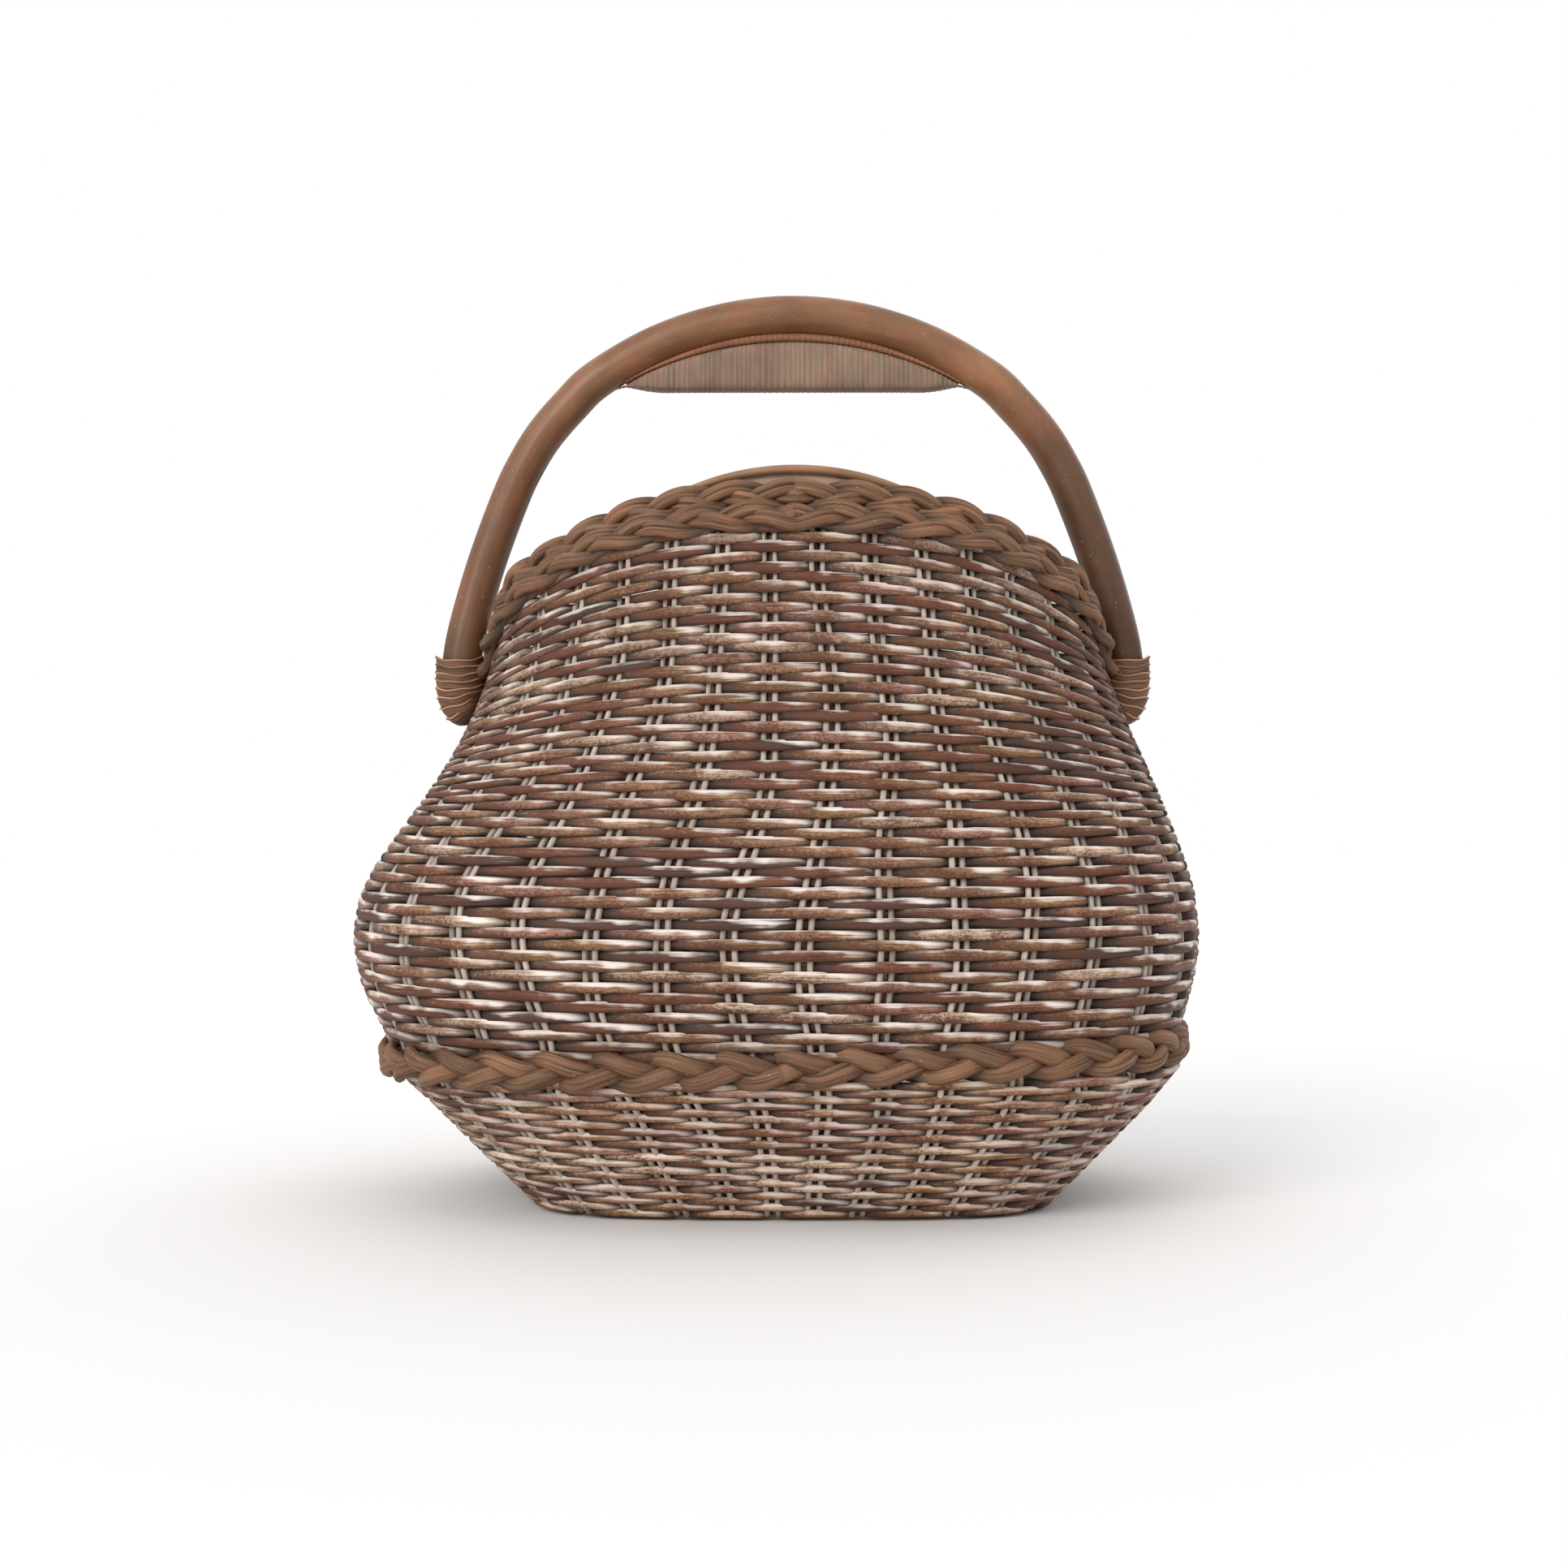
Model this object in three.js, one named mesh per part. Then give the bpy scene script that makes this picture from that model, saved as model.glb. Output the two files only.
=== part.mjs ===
// A wicker pet bed basket, in millimetres, +Z up. The origin is on the floor under the middle of
// the base. The high back faces -Y, the dipped front entry faces +Y, and the carrying handle spans X.
import * as THREE from "three";

// The plan is a round-cornered oval: its depth is this part of its width.
const PLAN_DEPTH = 0.74;

// Tray: the flared lower part.
const BOARD_HALF = 138;
const BOARD_THICK = 3.2;
const TRAY_BOTTOM_HALF = 140;
const TRAY_TOP_HALF = 215;
const TRAY_BOTTOM_Z = 3.5;
const TRAY_TOP_Z = 75.7;
const TRAY_BOTTOM_POWER = 4;
const TRAY_TOP_POWER = 3;
const TRAY_SKIN = 4.2;

// Rim braid: the thick plait between the tray and the wall.
const RIM_HALF = 223.5;
const RIM_Z = 85.9;
const RIM_HALF_THICK = 8.5;
const RIM_HALF_HEIGHT = 9.7;

// Wall: half-width of its outside against height, and the roundness of its plan.
const WALL_BOTTOM_Z = 96;
const WALL_PROFILE = [
  [92, 218],
  [120, 230],
  [146, 235],
  [175, 231],
  [205, 216],
  [235, 199],
  [265, 184],
  [295, 172],
  [325, 167],
  [355, 162],
  [389, 157],
];
const WALL_WIDEST_Z = 146;
const WALL_LOW_POWER = 2.8;
const WALL_HIGH_POWER = 2.4;
const WALL_SKIN = 3;
const WALL_LEVELS = 6;
const GAP = 0.4;

// Border: its top edge is a tilted plane that dips to the front entry.
const EDGE_SIDE_Z = 314;
const EDGE_SLOPE = 0.633;
const EDGE_HALF = 160;
const ENTRY_DROP = 99;
const ENTRY_FROM = THREE.MathUtils.degToRad(100);
const ENTRY_TO = THREE.MathUtils.degToRad(165);
const BORDER_BAND = 30;
const WEAVE_MARGIN = 2;
const PLAIT_HALF_HEIGHT = 9;
const PLAIT_HALF_THICK = 6;
const PLAIT_INSET = 4;
const PLAIT_STEP = 12.6;

// Stakes: pairs of rods that run from the base to the border inside the weave.
const STAKE_PAIRS = 36;
const STAKE_THICK = 3.5;
const STAKE_PAIR_WIDTH = 11;

// Handle, in the plane y = 0.
const POLE_RADIUS = 11;
const ARCH_RADIUS = 189;
const ARCH_Z = 310;
const ARCH_ANGLE = THREE.MathUtils.degToRad(36);
const LEG_POINTS = [
  [127, 448.7],
  [142, 431.2],
  [152.5, 414.2],
  [161, 396.2],
  [174.5, 360],
  [184.5, 326],
  [189, 308],
  [190, 300],
  [190, 285],
];
const GRIP_BOTTOM_Z = 455.5;
const GRIP_HALF_THICK = 8;
const STRIP_THICK = 3.4;
const STRIP_HALF_WIDTH = 5;
const WRAP_TOP_Z = 304;
const WRAP_BOTTOM_Z = 282.5;
const WRAP_THICK = 2;
const WRAP_CLEARANCE = 0.8;

// Crest: the smooth crescent inside the border at the back.
const CREST_INSET = 29.5;
const CREST_THICK = 6;
const CREST_RADIUS = 148;
const CREST_TOP_Z = 396;
const CREST_BOTTOM_Z = 352;
const CREST_BOW_RADIUS = 2.4;
const CREST_ANGLE = THREE.MathUtils.degToRad(50);

// Cushion: height and half-width of its outline, from the bottom to the top.
const CUSHION_OUTLINE = [
  [3.6, 116],
  [8, 126],
  [26, 146],
  [40, 154],
  [52, 150],
  [57, 132],
];

// Every ring has its facets centred on the stake pairs and halfway between them.
const RING_STEPS = 2 * STAKE_PAIRS;
const RING_ANGLES = evenAngles(RING_STEPS);

const WOOD = { color: 0x9a6d45, roughness: 0.7, metalness: 0 };
const WEAVE = { color: 0xb0926f, roughness: 0.8, metalness: 0 };
const STAKE = { color: 0xa47c54, roughness: 0.75, metalness: 0 };
const BRAID = { color: 0x9c7048, roughness: 0.7, metalness: 0 };
const GRIP = { color: 0x8d7357, roughness: 0.8, metalness: 0 };
const CREST = { color: 0xc0a48c, roughness: 0.6, metalness: 0 };
const FABRIC = { color: 0xd8cdbb, roughness: 0.95, metalness: 0 };

const basket = new THREE.Group();

function addMesh(name, geometry, look) {
  const mesh = new THREE.Mesh(geometry, new THREE.MeshStandardMaterial(look));
  mesh.name = name;
  basket.add(mesh);
  return mesh;
}

// Distance from the axis to the oval of one half-width, at an angle measured from the back.
function planRadius(angle, half, power) {
  const across = Math.abs(Math.sin(angle)) ** power;
  const along = Math.abs(Math.cos(angle) / PLAN_DEPTH) ** power;
  return half / (across + along) ** (1 / power);
}

function planPoint(angle, radius, z) {
  return new THREE.Vector3(radius * Math.sin(angle), -radius * Math.cos(angle), z);
}

function wallHalf(z) {
  const last = WALL_PROFILE.length - 1;
  if (z <= WALL_PROFILE[0][0]) return WALL_PROFILE[0][1];
  if (z >= WALL_PROFILE[last][0]) return WALL_PROFILE[last][1];
  const i = WALL_PROFILE.findIndex(([height]) => height > z) - 1;
  const [z0, half0] = WALL_PROFILE[i];
  const [z1, half1] = WALL_PROFILE[i + 1];
  return THREE.MathUtils.mapLinear(z, z0, z1, half0, half1);
}

function wallRadius(angle, z) {
  const t = THREE.MathUtils.smoothstep(z, WALL_WIDEST_Z, 325);
  const power = THREE.MathUtils.lerp(WALL_LOW_POWER, WALL_HIGH_POWER, t);
  return planRadius(angle, wallHalf(z), power);
}

function wallPoint(angle, z) {
  return planPoint(angle, wallRadius(angle, z), z);
}

function trayRadius(angle, z) {
  const t = (z - TRAY_BOTTOM_Z) / (TRAY_TOP_Z - TRAY_BOTTOM_Z);
  const half = THREE.MathUtils.lerp(TRAY_BOTTOM_HALF, TRAY_TOP_HALF, t);
  return planRadius(angle, half, THREE.MathUtils.lerp(TRAY_BOTTOM_POWER, TRAY_TOP_POWER, t));
}

// Height of the border's top edge, at an angle measured from the back.
function edgeHeight(angle) {
  const turn = Math.abs(Math.atan2(Math.sin(angle), Math.cos(angle)));
  const back = planRadius(angle, EDGE_HALF, WALL_HIGH_POWER) * Math.cos(angle);
  const dip = ENTRY_DROP * THREE.MathUtils.smoothstep(turn, ENTRY_FROM, ENTRY_TO);
  return EDGE_SIDE_Z + EDGE_SLOPE * back - dip;
}

// A height below the edge, measured square to the edge's slope.
function belowEdge(angle, down) {
  const step = 0.02;
  const rise = edgeHeight(angle + step) - edgeHeight(angle - step);
  const run = 2 * step * wallRadius(angle, edgeHeight(angle));
  return edgeHeight(angle) - down * Math.hypot(1, rise / run);
}

// Positive where the triangles of a closed surface face outward.
function signedVolume(points, index) {
  let sum = 0;
  for (let i = 0; i < index.length; i += 3) {
    const [a, b, c] = index.slice(i, i + 3).map((k) => points[k]);
    sum += a.dot(new THREE.Vector3().crossVectors(b, c));
  }
  return sum / 6;
}

// A closed surface through rings of points. The last ring joins the first, or both ends are capped.
function loft(rings, closed) {
  const size = rings[0].length;
  const spans = closed ? rings.length : rings.length - 1;
  const points = rings.flat();
  const index = [];
  for (let i = 0; i < spans; i++) {
    const here = i * size;
    const next = ((i + 1) % rings.length) * size;
    for (let j = 0; j < size; j++) {
      const k = (j + 1) % size;
      index.push(here + j, here + k, next + k, here + j, next + k, next + j);
    }
  }
  if (!closed) {
    const end = (rings.length - 1) * size;
    for (let j = 1; j < size - 1; j++) {
      index.push(0, j + 1, j, end, end + j, end + j + 1);
    }
  }
  if (signedVolume(points, index) < 0) index.reverse();
  const geometry = new THREE.BufferGeometry().setFromPoints(points);
  geometry.setIndex(index);
  geometry.computeVertexNormals();
  return geometry;
}

// Angles that stand evenly along the wall at its widest, half a step off the back.
function evenAngles(count) {
  const fine = 3600;
  const lengths = [0];
  const at = (i) => wallPoint((2 * Math.PI * i) / fine, WALL_WIDEST_Z);
  for (let i = 1; i <= fine; i++) lengths.push(lengths[i - 1] + at(i).distanceTo(at(i - 1)));
  const angles = [];
  for (let k = 0; k < count; k++) {
    const wanted = (lengths[fine] * (k + 0.5)) / count;
    angles.push((2 * Math.PI * lengths.findIndex((length) => length >= wanted)) / fine);
  }
  return angles;
}

// A ring body right round the basket: section(angle) gives its outline as [radius, z] points.
function ringBody(section) {
  const rings = RING_ANGLES.map((angle) =>
    section(angle).map(([radius, z]) => planPoint(angle, radius, z)),
  );
  return loft(rings, true);
}

// An ellipse of [radius, z] points.
function ovalSection(radius, z, halfThick, halfHeight, sides = 8) {
  const outline = [];
  for (let i = 0; i < sides; i++) {
    const turn = (2 * Math.PI * (i + 0.5)) / sides;
    outline.push([radius + halfThick * Math.cos(turn), z + halfHeight * Math.sin(turn)]);
  }
  return outline;
}

// The outside of the tray's weave at an angle, as [radius, z] points from the bottom up.
function trayOutline(angle) {
  const heights = [TRAY_BOTTOM_Z, (TRAY_BOTTOM_Z + TRAY_TOP_Z) / 2, TRAY_TOP_Z];
  return heights.map((z) => [trayRadius(angle, z), z]);
}

// The outside of the wall's weave at an angle, up to the underside of the border.
function wallOutline(angle) {
  const top = belowEdge(angle, BORDER_BAND + WEAVE_MARGIN);
  const outline = [];
  for (let i = 0; i <= WALL_LEVELS; i++) {
    const z = THREE.MathUtils.lerp(WALL_BOTTOM_Z, top, i / WALL_LEVELS);
    outline.push([wallRadius(angle, z), z]);
  }
  return outline;
}

// The section of a skin of one thickness inside an outline.
function skinSection(outline, thick) {
  const inside = outline.map(([radius, z]) => [radius - thick, z]).reverse();
  return [...outline, ...inside];
}

function baseBoard() {
  const outline = RING_ANGLES.map((angle) => {
    const point = planPoint(angle, planRadius(angle, BOARD_HALF, TRAY_BOTTOM_POWER), 0);
    return new THREE.Vector2(point.x, point.y);
  });
  const options = { depth: BOARD_THICK, bevelEnabled: false };
  return new THREE.ExtrudeGeometry(new THREE.Shape(outline), options);
}

function trayWeave() {
  return ringBody((angle) => skinSection(trayOutline(angle), TRAY_SKIN));
}

function upperWeave() {
  return ringBody((angle) => skinSection(wallOutline(angle), WALL_SKIN));
}

function rimBraid() {
  return ringBody((angle) => {
    const radius = planRadius(angle, RIM_HALF, TRAY_TOP_POWER);
    return ovalSection(radius, RIM_Z, RIM_HALF_THICK, RIM_HALF_HEIGHT);
  });
}

// One of the two plaits of the border: number 0 is the outer and lower one.
function borderPlait(number) {
  return ringBody((angle) => {
    const middle = number === 0 ? BORDER_BAND - PLAIT_HALF_HEIGHT - GAP : PLAIT_HALF_HEIGHT;
    const z = belowEdge(angle, middle);
    const height = PLAIT_HALF_HEIGHT * ((belowEdge(angle, 0) - z) / middle);
    const radius = wallRadius(angle, z) - PLAIT_INSET - number * PLAIT_STEP;
    return ovalSection(radius, z, PLAIT_HALF_THICK, height);
  });
}

// A pair of stakes as one strip with rounded edges that follows the inside of the weave.
function stakePair(number) {
  const sides = [RING_ANGLES[2 * number], RING_ANGLES[2 * number + 1]];
  const [left, right] = sides.map((side) =>
    [...trayOutline(side), ...wallOutline(side)].map(([radius, z]) => planPoint(side, radius, z)),
  );
  const bevel = 1.5;
  const section = [
    [STAKE_PAIR_WIDTH / 2, 0],
    [STAKE_PAIR_WIDTH / 2 - bevel, STAKE_THICK / 2],
    [bevel - STAKE_PAIR_WIDTH / 2, STAKE_THICK / 2],
    [-STAKE_PAIR_WIDTH / 2, 0],
    [bevel - STAKE_PAIR_WIDTH / 2, -STAKE_THICK / 2],
    [STAKE_PAIR_WIDTH / 2 - bevel, -STAKE_THICK / 2],
  ];
  const rings = left.map((point, level) => {
    const skin = level < trayOutline(sides[0]).length ? TRAY_SKIN : WALL_SKIN;
    const tangent = right[level].clone().sub(point).normalize();
    const outward = new THREE.Vector3(tangent.y, -tangent.x, 0).normalize();
    const middle = point.clone().lerp(right[level], 0.5);
    middle.addScaledVector(outward, -skin - 3 * GAP - STAKE_THICK / 2);
    return section.map(([along, out]) =>
      middle.clone().addScaledVector(tangent, along).addScaledVector(outward, out),
    );
  });
  return loft(rings, false);
}

function handleCurve() {
  const right = LEG_POINTS.map(([x, z]) => new THREE.Vector3(x, 0, z)).reverse();
  const left = LEG_POINTS.map(([x, z]) => new THREE.Vector3(-x, 0, z));
  const arch = [];
  for (let i = 0; i <= 6; i++) {
    const angle = THREE.MathUtils.lerp(ARCH_ANGLE, -ARCH_ANGLE, i / 6);
    const x = ARCH_RADIUS * Math.sin(angle);
    arch.push(new THREE.Vector3(x, 0, ARCH_Z + ARCH_RADIUS * Math.cos(angle)));
  }
  return new THREE.CatmullRomCurve3([...right, ...arch, ...left], false, "centripetal");
}

function circleShape(radius, sides) {
  const outline = [];
  for (let i = 0; i < sides; i++) {
    const turn = (2 * Math.PI * i) / sides;
    outline.push(new THREE.Vector2(radius * Math.cos(turn), radius * Math.sin(turn)));
  }
  return new THREE.Shape(outline);
}

function handleBow() {
  const options = { steps: 36, bevelEnabled: false, extrudePath: handleCurve() };
  return new THREE.ExtrudeGeometry(circleShape(POLE_RADIUS, 12), options);
}

// A plate between two arcs or between an arc and a chord, drawn in X and Z and extruded along Y.
function archPlate(outerRadius, innerRadius, bottomZ, halfThick) {
  const outerAngle = Math.acos((bottomZ - ARCH_Z) / outerRadius);
  const shape = new THREE.Shape();
  const start = Math.PI / 2 - outerAngle;
  const end = Math.PI / 2 + outerAngle;
  shape.absarc(0, ARCH_Z, outerRadius, start, end, false);
  if (innerRadius > 0) {
    const innerAngle = Math.acos((bottomZ - ARCH_Z) / innerRadius);
    shape.absarc(0, ARCH_Z, innerRadius, Math.PI / 2 + innerAngle, Math.PI / 2 - innerAngle, true);
  }
  const options = { depth: 2 * halfThick, bevelEnabled: false, curveSegments: 16 };
  const geometry = new THREE.ExtrudeGeometry(shape, options);
  geometry.rotateX(Math.PI / 2);
  geometry.translate(0, halfThick, 0);
  return geometry;
}

// A sleeve of cane round the foot of a leg, open at both ends.
function footWrap() {
  const inner = POLE_RADIUS + WRAP_CLEARANCE;
  const outer = inner + WRAP_THICK;
  const profile = [
    [inner, WRAP_BOTTOM_Z],
    [outer - 1, WRAP_BOTTOM_Z],
    [outer, WRAP_BOTTOM_Z + 3],
    [outer, WRAP_TOP_Z - 2],
    [outer - 1, WRAP_TOP_Z],
    [inner, WRAP_TOP_Z],
    [inner, WRAP_BOTTOM_Z],
  ];
  const points = profile.map(([radius, z]) => new THREE.Vector2(radius, z));
  return new THREE.LatheGeometry(points, 16).rotateX(Math.PI / 2);
}

// Height of the crest's top at a distance across the basket.
function crestTop(x) {
  return CREST_TOP_Z - CREST_RADIUS + Math.sqrt(CREST_RADIUS ** 2 - x ** 2);
}

// The crest follows the inside of the border: outline(top) gives each section as [offset, z] points.
function crestBody(outline) {
  const rings = [];
  for (let i = 0; i <= 16; i++) {
    const angle = THREE.MathUtils.lerp(-CREST_ANGLE, CREST_ANGLE, i / 16);
    const radius = planRadius(angle, EDGE_HALF, WALL_HIGH_POWER) - CREST_INSET;
    const top = crestTop(radius * Math.sin(angle));
    rings.push(outline(top).map(([offset, z]) => planPoint(angle, radius + offset, z)));
  }
  return loft(rings, false);
}

function crestPlate() {
  const half = CREST_THICK / 2;
  return crestBody((top) => [
    [half, CREST_BOTTOM_Z],
    [half, top],
    [-half, top],
    [-half, CREST_BOTTOM_Z],
  ]);
}

function crestBow() {
  return crestBody((top) => {
    const z = top + CREST_BOW_RADIUS + GAP;
    return ovalSection(0, z, CREST_BOW_RADIUS, CREST_BOW_RADIUS, 6);
  });
}

function cushion() {
  const rings = CUSHION_OUTLINE.map(([z, half]) => {
    const ring = [];
    for (let i = 0; i < 32; i++) {
      const angle = (2 * Math.PI * i) / 32;
      ring.push(planPoint(angle, planRadius(angle, half, TRAY_TOP_POWER), z));
    }
    return ring;
  });
  return loft(rings, false);
}

addMesh("base_board", baseBoard(), WOOD);
addMesh("tray_weave", trayWeave(), WEAVE);
addMesh("rim_braid", rimBraid(), BRAID);
addMesh("upper_weave", upperWeave(), WEAVE);
addMesh("border_plait_outer", borderPlait(0), BRAID);
addMesh("border_plait_inner", borderPlait(1), BRAID);
for (let i = 0; i < STAKE_PAIRS; i++) {
  addMesh("stake_pair_" + String(i + 1).padStart(2, "0"), stakePair(i), STAKE);
}

const archInside = ARCH_RADIUS - POLE_RADIUS;
const gripTop = archInside - STRIP_THICK - GAP * 2;
addMesh("handle_bow", handleBow(), WOOD);
addMesh("grip_strip", archPlate(archInside - GAP, gripTop + GAP, GRIP_BOTTOM_Z, STRIP_HALF_WIDTH), GRIP);
addMesh("handle_grip", archPlate(gripTop, 0, GRIP_BOTTOM_Z, GRIP_HALF_THICK), GRIP);
for (const [side, x] of [
  ["left", -190],
  ["right", 190],
]) {
  addMesh("handle_wrap_" + side, footWrap(), BRAID).position.x = x;
}

addMesh("crest_plate", crestPlate(), CREST);
addMesh("crest_bow", crestBow(), WOOD);
addMesh("cushion", cushion(), FABRIC);

export default basket;
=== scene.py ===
"""A wicker pet bed basket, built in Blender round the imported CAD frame.

The shape functions work in millimetres, in the CAD frame: the high back faces -Y, the dipped front
entry faces +Y, and an angle round the basket is counted from the back towards +X.
"""
import math

import bpy
import numpy as np
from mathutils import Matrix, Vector


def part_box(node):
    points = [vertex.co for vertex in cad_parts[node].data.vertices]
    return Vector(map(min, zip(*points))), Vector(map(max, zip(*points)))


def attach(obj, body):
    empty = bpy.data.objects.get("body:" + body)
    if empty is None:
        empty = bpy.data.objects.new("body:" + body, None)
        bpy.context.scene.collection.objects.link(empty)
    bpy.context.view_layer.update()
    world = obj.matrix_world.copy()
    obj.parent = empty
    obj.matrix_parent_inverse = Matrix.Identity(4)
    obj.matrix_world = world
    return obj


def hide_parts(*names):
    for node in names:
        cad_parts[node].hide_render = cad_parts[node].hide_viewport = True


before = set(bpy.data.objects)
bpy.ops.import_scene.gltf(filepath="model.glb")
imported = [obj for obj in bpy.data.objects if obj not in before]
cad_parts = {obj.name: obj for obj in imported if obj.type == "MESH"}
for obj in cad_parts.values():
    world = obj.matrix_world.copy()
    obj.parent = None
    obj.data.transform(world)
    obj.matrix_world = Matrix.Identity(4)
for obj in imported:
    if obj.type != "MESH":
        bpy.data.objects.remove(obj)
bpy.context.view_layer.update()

MM = 0.001


def node_box(name):
    """The lowest and highest corner of a CAD node, in millimetres."""
    low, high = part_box(name)
    return np.array(low) / MM, np.array(high) / MM


# ------ sizes from the frame
TRAY_LOW, TRAY_HIGH = node_box("tray_weave")
BOARD_HIGH = node_box("base_board")[1]
RIM_LOW, RIM_HIGH = node_box("rim_braid")
BOW_LOW, BOW_HIGH = node_box("handle_bow")
GRIP_LOW, GRIP_HIGH = node_box("handle_grip")
CREST_LOW, CREST_HIGH = node_box("crest_plate")
CUSHION_LOW, CUSHION_HIGH = node_box("cushion")
STAKE_PAIRS = sum(name.startswith("stake_pair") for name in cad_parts)


# ------ shape of the basket
PLAN_DEPTH = 0.74  # the plan's depth over its width

TRAY_BOTTOM_HALF = BOARD_HIGH[0] + 3.5
TRAY_TOP_HALF = TRAY_HIGH[0]
TRAY_BOTTOM_Z = TRAY_LOW[2] - 1.5
TRAY_TOP_Z = TRAY_HIGH[2]
TRAY_POWERS = (4.0, 3.0)  # how square the plan is, at the tray's bottom and top

WALL_BOTTOM_Z = node_box("upper_weave")[0][2]
WALL_WIDEST_Z = 146
WALL_ROUND_Z = 325
WALL_POWERS = (2.8, 2.4)  # how square the plan is, at the widest height and the round one
WALL_PROFILE = ((92, 218), (120, 230), (146, 235), (175, 231), (205, 216), (235, 199), (265, 184),
                (295, 172), (325, 167), (355, 162), (389, 157))  # heights and half-widths
PROFILE_HEIGHTS = (60, 430)
PROFILE_ROUNDING = 9  # millimetres to each side

# heights, and how far the hand-made basket leans to +X there
SWAY = ((0, 0), (60, -1.0), (86, -4.6), (100, -6.3), (120, -8.4), (146, -9.0), (165, -8.7), (185, -6.6),
        (205, -3.2), (225, 0.2), (245, 2.4), (270, 3.4), (300, 3.0), (340, 2.2), (420, 2.0))

EDGE_SIDE_Z = 314  # the border's top edge at the sides
EDGE_SLOPE = 0.633  # its rise towards the back
EDGE_HALF = 160
ENTRY_DROP = 99
ENTRY_FROM = math.radians(100)
ENTRY_TO = math.radians(165)

LEAN_FAN = 0.055
LEAN_FAN_REACH = 8
LEAN_FAN_Z = (190, 330)
# size, turns, height and phase
LEAN_WAVES = ((0.05, 3, 41, 1.3), (0.045, 7, -27, 4.1), (0.03, 11, 17, 2.2))

UPWARD = np.array([0.0, 0.0, 1.0])
FRONTWARD = np.array([0.0, 1.0, 0.0])
LEVEL = np.array([1.0, 1.0, 0.0])


def smoothstep(x, low, high):
    t = np.clip((x - low) / (high - low), 0, 1)
    return t * t * (3 - 2 * t)


def unit(vectors):
    return vectors / np.linalg.norm(vectors, axis=-1, keepdims=True)


def lengths_along(points):
    """The length of a line from its start to each of its points."""
    return np.concatenate([[0], np.cumsum(np.linalg.norm(np.diff(points, axis=0), axis=1))])


def radial_direction(angle):
    return np.stack([np.sin(angle), -np.cos(angle), 0 * angle], axis=-1)


def from_back(angle):
    """The turn from the back to an angle, either way round."""
    return np.abs(np.arctan2(np.sin(angle), np.cos(angle)))


def plan_radius(angle, half, power):
    """Distance from the axis to the oval of one half-width."""
    across = np.abs(np.sin(angle)) ** power
    along = np.abs(np.cos(angle) / PLAN_DEPTH) ** power
    return half / (across + along) ** (1 / power)


def sway(z):
    """The lean sideways at a height: left at the bulge and a little to the right above it."""
    heights, shifts = zip(*SWAY)
    return np.interp(z, heights, shifts)


def plan_point(angle, radius, z):
    return np.stack([radius * np.sin(angle) + sway(z), -radius * np.cos(angle), z + 0 * radius], axis=-1)


def smooth_profile():
    """The wall's half-width at every millimetre of height, with the corners of the outline rounded."""
    heights = np.arange(*PROFILE_HEIGHTS)
    corners_z, corners_half = zip(*WALL_PROFILE)
    half = np.interp(heights, corners_z, corners_half)
    width = 2 * PROFILE_ROUNDING + 1
    for _ in range(2):
        padded = np.pad(half, PROFILE_ROUNDING, mode="edge")
        half = np.convolve(padded, np.ones(width) / width, mode="valid")
    return heights, half


PROFILE_Z, PROFILE_HALF = smooth_profile()


def wall_radius(angle, z):
    t = smoothstep(z, WALL_WIDEST_Z, WALL_ROUND_Z)
    power = WALL_POWERS[0] + (WALL_POWERS[1] - WALL_POWERS[0]) * t
    return plan_radius(angle, np.interp(z, PROFILE_Z, PROFILE_HALF), power)


def wall_point(angle, z):
    return plan_point(angle, wall_radius(angle, z), z)


def tray_point(angle, z):
    t = (z - TRAY_BOTTOM_Z) / (TRAY_TOP_Z - TRAY_BOTTOM_Z)
    half = TRAY_BOTTOM_HALF + (TRAY_TOP_HALF - TRAY_BOTTOM_HALF) * t
    power = TRAY_POWERS[0] + (TRAY_POWERS[1] - TRAY_POWERS[0]) * t
    return plan_point(angle, plan_radius(angle, half, power), z)


def outward(surface, angle, z):
    """The outward normal of a surface that is a function of angle and height."""
    small_turn, small_rise = 1e-3, 0.2
    turn = surface(angle + small_turn, z) - surface(angle - small_turn, z)
    rise = surface(angle, z + small_rise) - surface(angle, z - small_rise)
    return unit(np.cross(turn, rise))


def edge_height(angle):
    """Height of the border's top edge."""
    back = plan_radius(angle, EDGE_HALF, WALL_POWERS[1]) * np.cos(angle)
    drop = ENTRY_DROP * smoothstep(from_back(angle), ENTRY_FROM, ENTRY_TO)
    return EDGE_SIDE_Z + EDGE_SLOPE * back - drop


def below_edge(angle, down):
    """A height below the edge, measured square to the edge's slope."""
    step = 0.02
    rise = edge_height(angle + step) - edge_height(angle - step)
    run = 2 * step * wall_radius(angle, edge_height(angle))
    return edge_height(angle) - down * np.hypot(1, rise / run)


def even_angle_table():
    """Angles that stand evenly along the wall at its widest, against a count from -0.5 to 0.5."""
    angle = np.linspace(-math.pi, math.pi, 7201)
    length = lengths_along(wall_point(angle, np.full_like(angle, WALL_WIDEST_Z)))
    return length / length[-1] - 0.5, angle


EVEN_COUNT, EVEN_ANGLE = even_angle_table()


def station_angle(station):
    """The angle of a place counted in stake pairs from the back."""
    turns = np.asarray(station) / STAKE_PAIRS
    whole = np.round(turns)
    return np.interp(turns - whole, EVEN_COUNT, EVEN_ANGLE) + 2 * math.pi * whole


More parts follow.
